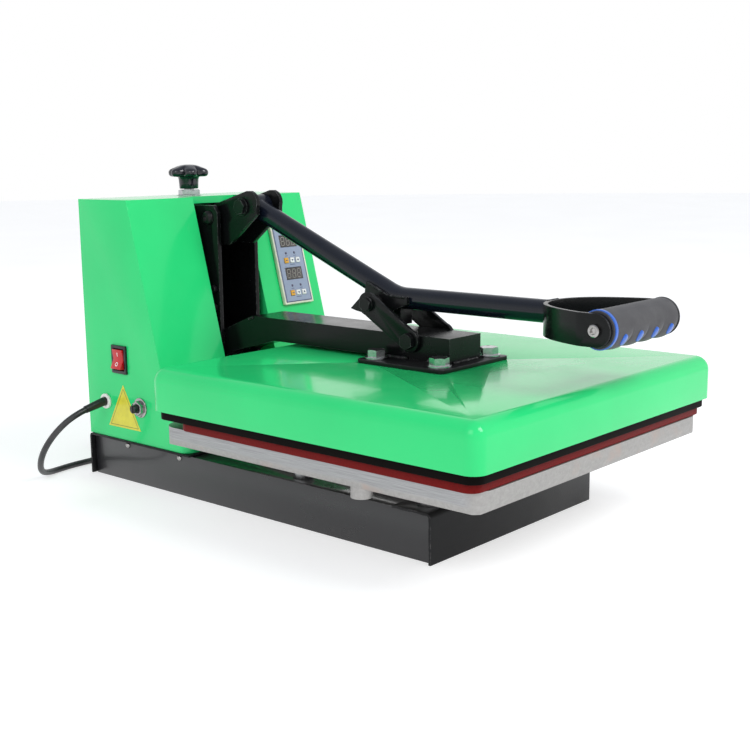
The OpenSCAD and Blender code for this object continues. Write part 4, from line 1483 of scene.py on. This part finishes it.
@dataclass
class Tower:
    """Two black side plates with their cap and bolts, and the arm's hinge shaft."""

    edge: float = 0.7
    outer: float = 30.5
    guide_y: tuple[float, float] = (216.0, 262.0)
    guide_z: float = 292.0
    lift: float = 307.0

    def guide_screws(self) -> None:
        """Builds the domed socket screws that guide the sliding head, and the plates' hex screws."""
        bm = merged_copy("tower_bolts")
        bmesh.ops.bisect_plane(
            bm, geom=bm.verts[:] + bm.edges[:] + bm.faces[:], dist=0.001 * MM, plane_co=(0, 0, 250 * MM),
            plane_no=(0, 0, 1), clear_outer=True,
        )
        ease_edges(bm, 0.5, 2)
        for side in Side:
            for y in self.guide_y:
                matrix = turned_to(
                    Vector((side.value, 0, 0)), Vector((side.value * self.outer, y, self.guide_z)) * MM,
                )
                lathe(
                    bm, [(0, -30), (4.1, -30), (4.1, 0), (8, 0), (8, 0.7), (7.6, 2.0), (6.4, 3.6), (4.6, 4.5),
                         (3.1, 4.8), (2.9, 4.6), (2.9, 2.0), (0, 2.0)], matrix, 32,
                )
        put(bm, "tower_screws", "root", "black_satin", ["tower_bolts"])

    def collar(self) -> None:
        """Builds the nut and washer that the pressure screw turns in."""
        low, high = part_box("knob_collar")
        bm = bmesh.new()
        middle = Vector(((low.x + high.x) / 2, (low.y + high.y) / 2, low.z))
        hex_bolt(bm, Matrix.Translation(middle), 21.9, 5.5, 26.0, 3.5, 12.0)
        put(bm, "collar_nut", "root", "zinc_plate", ["knob_collar"])

    def welds(self) -> None:
        """Lays the welds where the plates meet the cap and the deck."""
        bm = bmesh.new()
        for side in Side:
            x = side.value * (self.outer + 0.3)
            weld_bead(bm, (x, 209, 48.6), (x, 238, 48.6), size=2.0)
            weld_bead(bm, (x, 276, 48.6), (x, 304, 48.6), size=2.0)
            weld_bead(bm, (x, 262, self.lift), (x, 276, self.lift), size=1.4)
            weld_bead(bm, (x, 290, self.lift), (x, 303, self.lift), size=1.4)
        put(bm, "tower_welds", "root", "black_satin")

    def build(self) -> None:
        """Softens the plates and plates the fasteners."""
        soften("tower_left", "black_gloss", self.edge, 3)
        soften("tower_right", "black_gloss", self.edge, 3)
        soften("tower_cap", "black_gloss", 1.2, 3)
        self.guide_screws()
        soften("arm_hinge_shaft", "turned_steel", 0.6, 2)
        self.collar()
        self.welds()


@dataclass
class LowerPlaten:
    """Cast lower plate on its posts, with the silicone pad on top."""

    def build(self) -> None:
        """Softens the casting and lays the pad."""
        soften("lower_plate", "cast_plate", 1.2, 3)
        soften("table_posts", "drawn_steel", 0.5, 2)
        pad = soften("silicone_pad", "silicone_red", 1.2, 4)


@dataclass
class ControlPanel:
    """Temperature and timer panel on the right wing."""

    normal: Point = (0.0, -0.96782, 0.25163)
    slope: Point = (0.0, 0.25163, 0.96782)
    rows: tuple[float, float] = (39.5, 0.0)
    display_v: float = -11.2
    lamp_v: float = -25.8
    button_v: float = -34.7
    pitch: float = 9.4
    segment: tuple[float, float] = (4.6, 0.95)

    def plane(self, node: str) -> Matrix:
        """Gives the matrix of the outer surface of a panel node, about the panel's middle.

        Args:
            node: The CAD node whose outer surface is wanted.

        Returns:
            A matrix with u along +X, v up the slope and +Z outwards.
        """
        out, up = Vector(self.normal), Vector(self.slope)
        low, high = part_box("panel_face")
        middle = (low + high) / 2
        middle += out * (farthest(node, out) - out.dot(middle))
        turn = Matrix((Vector((1, 0, 0)), up, out)).transposed().to_4x4()
        return Matrix.Translation(middle) @ turn

    def digits(self) -> None:
        """Builds the unlit segments of the three figures in each display."""
        bm = bmesh.new()
        base = self.plane("panel_displays")
        length, thick = self.segment
        bar = [(-length / 2, 0), (-length / 2 + thick / 2, thick / 2), (length / 2 - thick / 2, thick / 2),
               (length / 2, 0), (length / 2 - thick / 2, -thick / 2), (-length / 2 + thick / 2, -thick / 2)]
        spots = [
            (0, 5.0, 0), (0, 0, 0), (0, -5.0, 0), (-2.5, 2.5, 90), (2.5, 2.5, 90), (-2.5, -2.5, 90),
            (2.5, -2.5, 90),
        ]
        lean = Matrix.Identity(4)
        lean[0][1] = 0.12
        for row in self.rows:
            for k in (-1, 0, 1):
                home = base @ Matrix.Translation(Vector((k * 8.4, row + self.display_v, 0)) * MM) @ lean
                for x, y, turn in spots:
                    place = home @ Matrix.Translation(Vector((x, y, 0)) * MM) @ Matrix.Rotation(
                        math.radians(turn), 4, "Z",
                    )
                    prism(bm, bar, -0.05, 0.1, place)
        put(bm, "display_figures", "root", "display_segment")

    def film_lines(self) -> None:
        """Builds the printed outline, the lines between the groups and the marks by the lamps."""
        bm = bmesh.new()
        base = self.plane("panel_face")
        low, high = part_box("panel_face")
        width = (high.x - low.x) / MM - 1.6
        height = (high - low).dot(Vector(self.slope)) / MM - 1.6
        for x, y, w, h in (
            (0, height / 2, width, 0.9), (0, -height / 2, width, 0.9), (-width / 2, 0, 0.9, height),
            (width / 2, 0, 0.9, height),
        ):
            prism(
                bm, round_box(w, h + (0.9 if h > w else 0), 0.3, 3), -0.05, 0.08,
                base @ Matrix.Translation(Vector((x, y, 0)) * MM),
            )
        for row in self.rows:
            for side in (-1, 1):
                place = base @ Matrix.Translation(Vector((side * 7, row + self.lamp_v - 3.4, 0)) * MM)
                prism(bm, round_box(4.6, 0.6, 0.25, 3), -0.05, 0.08, place)
            place = base @ Matrix.Translation(Vector((0.6, row + self.button_v - 5.2, 0)) * MM)
            prism(bm, round_box(9.0, 0.6, 0.25, 3), -0.05, 0.08, place)
        put(bm, "film_outline", "root", "panel_outline")

    def button_marks(self, key: str, row: str) -> None:
        """Builds a key's mark: a bar on the set key, and an arrow on each other one.

        Args:
            key: set, down or up.
            row: upper or lower.
        """
        node = f"{key}_button_{row}"
        bm = bmesh.new()
        low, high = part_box(node)
        out = Vector(self.normal)
        middle = (low + high) / 2
        middle += out * (farthest(node, out) - out.dot(middle))
        turn = Matrix((Vector((1, 0, 0)), Vector(self.slope), out)).transposed().to_4x4()
        place = Matrix.Translation(middle) @ turn
        shapes = {
            "set": round_box(3.4, 1.0, 0.4, 3),
            "down": [(-1.7, 1.0), (0, -1.7), (1.7, 1.0)],
            "up": [(-1.7, -1.0), (1.7, -1.0), (0, 1.7)],
        }
        prism(bm, shapes[key], -0.05, 0.08, place)
        put(bm, f"{key}_mark_{row}", body_of_node(node), "panel_ink")

    def build(self) -> None:
        """Dresses the bezel, film, displays, lamps and buttons."""
        soften("panel_bezel", "cream_shell", 1.2, 3)
        dress("panel_face", "panel_film")
        soften("panel_displays", "display_window", 0.4, 2)
        soften("panel_lamps", "lamp_lens", 0.5, 2)
        self.digits()
        self.film_lines()
        for row in ("upper", "lower"):
            for key, finish in (("set", "button_yellow"), ("down", "button_white"), ("up", "button_white")):
                soften(f"{key}_button_{row}", finish, 0.7, 3)
                self.button_marks(key, row)


@dataclass
class SideFittings:
    """Switch, fuse, glands, plain sticker and the parts inside the housing."""

    side_x: float = -132.0
    sticker: tuple[tuple[float, float], ...] = ((281.6, 61.5), (224.2, 61.9), (252.6, 110.9))
    switch: tuple[float, float] = (255.5, 139.5)
    face_drop: float = -3.0
    face_reach: float = 10.9

    def sticker_sheet(self) -> None:
        """Builds the plain yellow triangle with its thin dark border line."""
        facing = Matrix(((0, 0, -1, 0), (-1, 0, 0, 0), (0, 1, 0, 0), (0, 0, 0, 1)))
        place = Matrix.Translation((self.side_x * MM, 0, 0)) @ facing
        corners = [(-y, z) for y, z in self.sticker]
        centre = Vector((sum(c[0] for c in corners) / 3, sum(c[1] for c in corners) / 3))
        bm = bmesh.new()
        prism(bm, corners, 0.0, 0.3, place)
        put(bm, "side_sticker", "root", "sticker_yellow")
        line = bmesh.new()
        inner = [centre + (Vector(c) - centre) * 0.86 for c in corners]
        for a, b in zip(inner, inner[1:] + inner[:1]):
            along = (b - a).normalized()
            across = Vector((-along.y, along.x)) * 0.35
            prism(
                line, [tuple(a - across), tuple(b - across), tuple(b + across), tuple(a + across)], 0.25,
                0.36, place,
            )
        put(line, "sticker_line", "root", "sticker_edge")

    def rocker_marks(self) -> None:
        """Builds the generic on and off marks of the rocker, raised a little from its two faces."""
        y, z = self.switch
        tilt = Matrix.Rotation(math.radians(8), 4, "Y")
        home = Matrix.Translation(Vector((self.side_x, y, z)) * MM) @ tilt
        bm = bmesh.new()
        for sign in (1, -1):
            face = Vector((self.face_drop, 0, sign * self.face_reach)).normalized()
            out = Vector((-abs(face.z), 0, sign * face.x)).normalized()
            if out.x > 0:
                out = -out
            middle = Vector((-4.5, 0, sign * 5.45)) * MM
            up = Vector((0, 1, 0)).cross(out)
            turn = Matrix((Vector((0, 1, 0)), out.cross(Vector((0, 1, 0))), out)).transposed().to_4x4()
            place = home @ Matrix.Translation(middle) @ turn
            if sign > 0:
                prism(bm, round_box(0.9, 4.4, 0.3, 3), -0.15, 0.12, place)
            else:
                ring = [(2.3, -0.15), (2.3, 0.12), (1.5, 0.12), (1.5, -0.15), (2.3, -0.15)]
                lathe(bm, ring, place, 24)
        put(bm, "rocker_marks", body_of_node("rocker"), "mark_white")

    def build(self) -> None:
        """Dresses the fittings."""
        soften("switch_frame", "black_moulding", 0.8, 2)
        soften("rocker", "red_rocker", 0.6, 3, 20.0)
        soften("fuse_holder", "nickel_plate", 0.5, 2)
        soften("fuse_cap", "black_moulding", 0.8, 2)
        soften("cord_gland", "white_nylon", 0.9, 3)
        soften("strain_relief", "black_moulding", 0.4, 2)
        soften("circuit_board", "board_laminate", 0.3, 2)
        soften("heater_relay", "relay_case", 0.5, 2)
        self.sticker_sheet()
        self.rocker_marks()


@dataclass
class PressureHead:
    """Sliding head with its pivot bolt, and the pressure knob above it."""

    pivot: tuple[float, float] = (171.0, 304.8)
    ear: float = 20.2
    lobes: int = 6

    def pivot_heads(self) -> None:
        """Builds the pivot bolt with a washer and a chamfered head at each end."""
        bm = bmesh.new()
        y, z = self.pivot
        for side in Side:
            place = Vector((side.value * self.ear, y, z)) * MM
            hex_bolt(bm, turned_to(Vector((side.value, 0, 0)), place), 15.0, 4.0, 20.0, 1.6, 8.0)
        shank = [(0, -20.3), (6, -20.3), (6, 20.3), (0, 20.3)]
        lathe(bm, shank, turned_to(Vector((1, 0, 0)), Vector((0, y, z)) * MM), 32)
        put(bm, "pivot_bolt_heads", body_of_node("handle_pivot_bolt"), "black_satin", ["handle_pivot_bolt"])

    def knob(self) -> None:
        """Builds the lobed knob as one domed moulding with its neck."""
        low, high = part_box("pressure_knob")
        wide = (high.x - low.x) / 2 / MM

        def lobed(angle: float, radius: float, height: float) -> float:
            """Draws the rim out to lobes, most of all at its widest height.

            Args:
                angle: The angle round the knob in radians.
                radius: The plain profile's radius in millimetres.
                height: The height up the profile in millimetres, which changes nothing.

            Returns:
                The lobed radius in millimetres.
            """
            wave = 0.5 + 0.5 * math.cos(self.lobes * angle)
            swell = max(0.0, min(1.0, (radius - 12.5) / 6.0))
            return radius * (1 - 0.30 * swell * (1 - wave ** 0.55))

        profile = [
            (0, 0), (10.4, 0), (11.0, 0.5), (11.3, 6), (11.7, 11), (12.4, 13.2), (14.5, 14.2),
            (wide - 4, 14.0),
            (wide - 1.6, 14.8), (wide - 0.3, 16.6), (wide, 18.6), (wide - 0.4, 20.6), (wide - 2.0, 22.4),
            (wide - 4.5, 23.6), (wide - 8, 24.8), (12.5, 26.2), (8.5, 27.3), (4, 27.9), (0, 28),
        ]
        bm = bmesh.new()
        middle = Vector(((low.x + high.x) / 2, (low.y + high.y) / 2, low.z))
        lathe(bm, profile, Matrix.Translation(middle), 96, lobed)
        put(bm, "knob_moulding", body_of_node("pressure_knob"), "knob_bakelite", ["pressure_knob"], 50.0)

    def build(self) -> None:
        """Softens the head and builds the bolt heads and the knob."""
        soften("head_block", "black_gloss", 0.9, 3)
        self.pivot_heads()
        self.knob()
        soften("pressure_screw", "zinc_plate", 0.3, 2)


@dataclass
class Handle:
    """Bent handle tube with its lugs, fork and grip."""

    grip_y: float = -306.0
    grip_z: float = 214.0
    radius: float = 17.5
    half: float = 57.5
    swell_pitch: float = 27.0
    ring_from: float = 4.4
    swell_depth: float = 2.6
    swell_base: float = 1.2

    def underside(self, x: float) -> float:
        """Gives how far the finger swells stand out at a place along the grip.

        Args:
            x: The place, in millimetres from the middle.

        Returns:
            The extra reach in millimetres, 0 between the swells.
        """
        if abs(x) > 2 * self.swell_pitch:
            return 0.0
        return self.swell_depth * abs(
            math.cos(math.pi * (x + self.swell_pitch / 2) / self.swell_pitch)
        ) ** 0.6

    def grip_barrel(self) -> None:
        """Builds the grip with four finger swells underneath and blue studs on its front."""
        bm = bmesh.new()
        steps = 120
        ends = self.half - 3.0
        matrix = turned_to(Vector((1, 0, 0)), Vector((0, self.grip_y, self.grip_z)) * MM)
        left = self.half - self.ring_from
        profile = [(3.2, -left), (self.radius - 1.6, -left), (self.radius - 0.5, -left + 0.9)]
        profile += [
            (self.radius - 0.4, -left + 2 + (left + ends - 4) * k / steps) for k in range(steps + 1)
        ]
        profile += [(self.radius - 0.5, ends - 0.9), (self.radius - 1.8, ends), (3.2, ends), (3.2, -left)]
        lathe(bm, profile, Matrix.Identity(4), 72)
        to_world = matrix.to_3x3()
        below = Vector((0, -0.45, -0.89))
        for vert in bm.verts:
            radial = Vector((vert.co.x, vert.co.y, 0))
            if radial.length < 8 * MM:
                continue
            facing = (to_world @ radial.normalized()).dot(below)
            along = (to_world @ Vector((0, 0, vert.co.z))).x / MM
            weight = max(0.0, (facing - 0.45) / 0.55) ** 0.8
            grown = radial.normalized() * (self.underside(along) - self.swell_base) * weight * MM
            vert.co += grown
        bmesh.ops.transform(bm, matrix=matrix, verts=bm.verts)
        put(bm, "grip_barrel", body_of_node("grip"), "grip_rubber", ["grip"], 40.0)
        studs = bmesh.new()
        out = Vector((0, -0.87, -0.50)).normalized()
        for k in range(4):
            x = (k - 1.5) * self.swell_pitch
            spot = Vector((x, self.grip_y, self.grip_z)) * MM + out * (self.radius + 0.5) * MM
            made = lathe(
                studs, [(0, -2.5), (4.9, -2.5), (4.9, 0.2), (4.5, 0.7), (3.2, 1.15), (0, 1.3)],
                Matrix.Identity(4), 32,
            )
            stretch = Matrix.Diagonal((0.86, 1.12, 1.0, 1.0))
            bmesh.ops.transform(studs, matrix=turned_to(out, spot) @ stretch, verts=made)
        put(studs, "grip_studs", body_of_node("grip"), "grip_blue")

    def grip_ends(self) -> None:
        """Builds the blue ring at the left end of the grip and the black collars at both ends."""
        y, z = self.grip_y, self.grip_z
        ring = bmesh.new()
        r, half = self.radius, self.half
        left = turned_to(Vector((-1, 0, 0)), Vector((0, y, z)) * MM)
        start = half - self.ring_from
        lathe(
            ring,
            [
                (3.2, start), (r, start), (r, half - 1.6), (r - 0.4, half - 1.2), (3.2, half - 1.2),
                (3.2, start),
            ],
            left, 64,
        )
        put(ring, "grip_ring", body_of_node("grip_caps"), "grip_blue", ["grip_caps"])
        collars = bmesh.new()
        right = turned_to(Vector((1, 0, 0)), Vector((0, y, z)) * MM)
        lathe(
            collars, [(3.2, half - 3), (r - 0.2, half - 3), (r, half - 2.4), (r - 0.5, half - 1.0),
                      (r - 2.4, half),
                      (3.2, half), (3.2, half - 3)], right, 64,
        )
        lathe(
            collars,
            [(3.2, half - 1.2), (r - 1.0, half - 1.2), (r - 1.4, half), (3.2, half), (3.2, half - 1.2)],
            left, 64,
        )
        put(collars, "grip_collars", body_of_node("grip_caps"), "grip_rubber")

    def rod(self) -> None:
        """Builds the grip's rod with a socket screw head at each end."""
        bm = bmesh.new()
        low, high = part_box("grip_rod")
        middle = Vector((0, (low.y + high.y) / 2, (low.z + high.z) / 2))
        face = high.x / MM - 4
        lathe(
            bm, [(0, -face - 0.4), (3, -face - 0.4), (3, face + 0.4), (0, face + 0.4)],
            turned_to(Vector((1, 0, 0)), middle), 32,
        )
        for side in Side:
            lathe(
                bm, [(0, face), (5.3, face), (5.5, face + 0.3), (5.5, face + 3.1), (4.7, face + 3.9),
                     (3.2, face + 4.0),
                     (2.9, face + 3.7), (2.9, face + 1.6), (0, face + 1.4)],
                turned_to(Vector((side.value, 0, 0)), middle), 32,
            )
        put(bm, "grip_screws", body_of_node("grip_rod"), "nickel_plate", ["grip_rod"])

    def welds(self) -> None:
        """Lays the welds of the tube on the fork and of the lugs on the tube."""
        bm = bmesh.new()
        for z in (206.5, 227.5):
            weld_bead(bm, (-9, -224.0, z), (9, -224.0, z), size=1.6)
        for x in (-10.8, 10.8):
            weld_bead(bm, (x, -224.0, 208), (x, -224.0, 226), size=1.6)
            weld_bead(bm, (x * 1.42, -59, 219.5), (x * 1.42, -40, 220.2), size=1.5)
            weld_bead(bm, (x * 1.42, -30, 223.3), (x * 1.42, -11, 231.4), size=1.5)
        put(bm, "handle_welds", body_of_node("handle_tube"), "black_satin")

    def build(self) -> None:
        """Softens the handle's parts and builds the grip."""
        dress("handle_tube", "tube_gloss")
        soften("handle_lugs", "black_satin", 0.8, 3)
        soften("handle_fork", "black_gloss", 0.8, 3)
        soften("link_upper_sleeve", "black_satin", 0.5, 2)
        self.grip_barrel()
        self.grip_ends()
        self.rod()
        self.welds()


@dataclass
class ToggleLink:
    """The toggle link between the handle and the arm."""

    outer: float = 29.7
    pivot: tuple[float, float] = (-22.0, 212.0)

    def build(self) -> None:
        """Softens the link's plates and builds its bolts."""
        soften("toggle_link", "black_gloss", 0.8, 3)
        bm = bmesh.new()
        y, z = self.pivot
        for side in Side:
            place = Vector((side.value * (self.outer - 4.0), y, z)) * MM
            matrix = turned_to(Vector((side.value, 0, 0)), place)
            lathe(bm, [(0, 0), (4.4, 0), (4.4, 4.1), (0, 4.1)], matrix, 32)
            hex_bolt(bm, matrix @ Matrix.Translation((0, 0, 4.0 * MM)), 13.0, 4.0, 15.0, 1.0, 20.0)
        put(bm, "link_bolt_heads", body_of_node("link_bolts"), "black_satin", ["link_bolts"])


@dataclass
class Arm:
    """Square arm with its mount plate and bolts."""

    mount: tuple[float, float] = (0.0, -83.0)
    pitch: float = 80.0
    seat: float = 160.0
    turns: tuple[float, ...] = (12.0, 40.0, 3.0, 25.0)

    def bolts(self) -> None:
        """Builds the four bolts with their wide washers and shanks."""
        bm = bmesh.new()
        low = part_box("mount_bolts")[0].z / MM
        spots = [(x, y) for x in (-0.5, 0.5) for y in (-0.5, 0.5)]
        for (x, y), turn in zip(spots, self.turns):
            place = Vector((self.mount[0] + x * self.pitch, self.mount[1] + y * self.pitch, self.seat)) * MM
            hex_bolt(bm, Matrix.Translation(place), 17.0, 7.5, 24.0, 2.0, turn)
            depth = self.seat - low
            lathe(bm, [(0, -depth), (4.9, -depth), (4.9, 0.2), (0, 0.2)], Matrix.Translation(place), 24)
        put(bm, "mount_bolt_heads", body_of_node("mount_bolts"), "zinc_plate", ["mount_bolts"])

    def welds(self) -> None:
        """Lays the welds between the arm and its mount plate."""
        bm = bmesh.new()
        for x in (-25.5, 25.5):
            weld_bead(bm, (x, -122, 160.6), (x, -96, 160.6), size=1.8)
            weld_bead(bm, (x, -72, 160.6), (x, -44, 160.6), size=1.8)
        weld_bead(bm, (-20, -124.4, 160.6), (20, -124.4, 160.6), size=1.8)
        for x in (-25.2, 25.2):
            weld_bead(bm, (x, 152, 183.5), (x, 160, 180.5), size=1.5)
        put(bm, "arm_welds", body_of_node("arm_tube"), "black_satin")

    def build(self) -> None:
        """Rounds the tube's corners and bolts it to the cover."""
        soften("arm_tube", "black_gloss", 2.0, 4, where=lambda edge: edge.calc_length() > 60 * MM)
        soften("mount_plate", "black_satin", 0.7, 3)
        self.bolts()
        self.welds()


@dataclass
class HeatedHead:
    """Green cover over the wool and the heated platen."""

    def build(self) -> None:
        """Rounds the cover and coats the platen."""
        soften("cover", "green_gloss", 0.5, 2, 40.0)
        soften("insulation", "wool_mat", 0.8, 2)
        soften("heat_platen", "release_coating", 1.2, 3)
        soften("heating_element", "element_sheath", 0.4, 2)
        soften("temperature_sensor", "nickel_plate", 0.3, 2)


def main() -> None:
    """Builds the camera, the lead and then every sub-assembly."""
    logging.basicConfig(level=logging.INFO, format="%(message)s")
    bpy.context.scene.view_settings.view_transform = "Standard"
    studio = Studio()
    studio.set_camera()
    PowerLead().build()
    for assembly in (
        BaseFrame(), Housing(), Tower(), LowerPlaten(), ControlPanel(), SideFittings(), PressureHead(),
        Handle(),
        ToggleLink(), Arm(), HeatedHead(),
    ):
        assembly.build()
        LOG.info("%s done", type(assembly).__name__)
    studio.light()
    studio.floor()


if __name__ == "__main__":
    main()
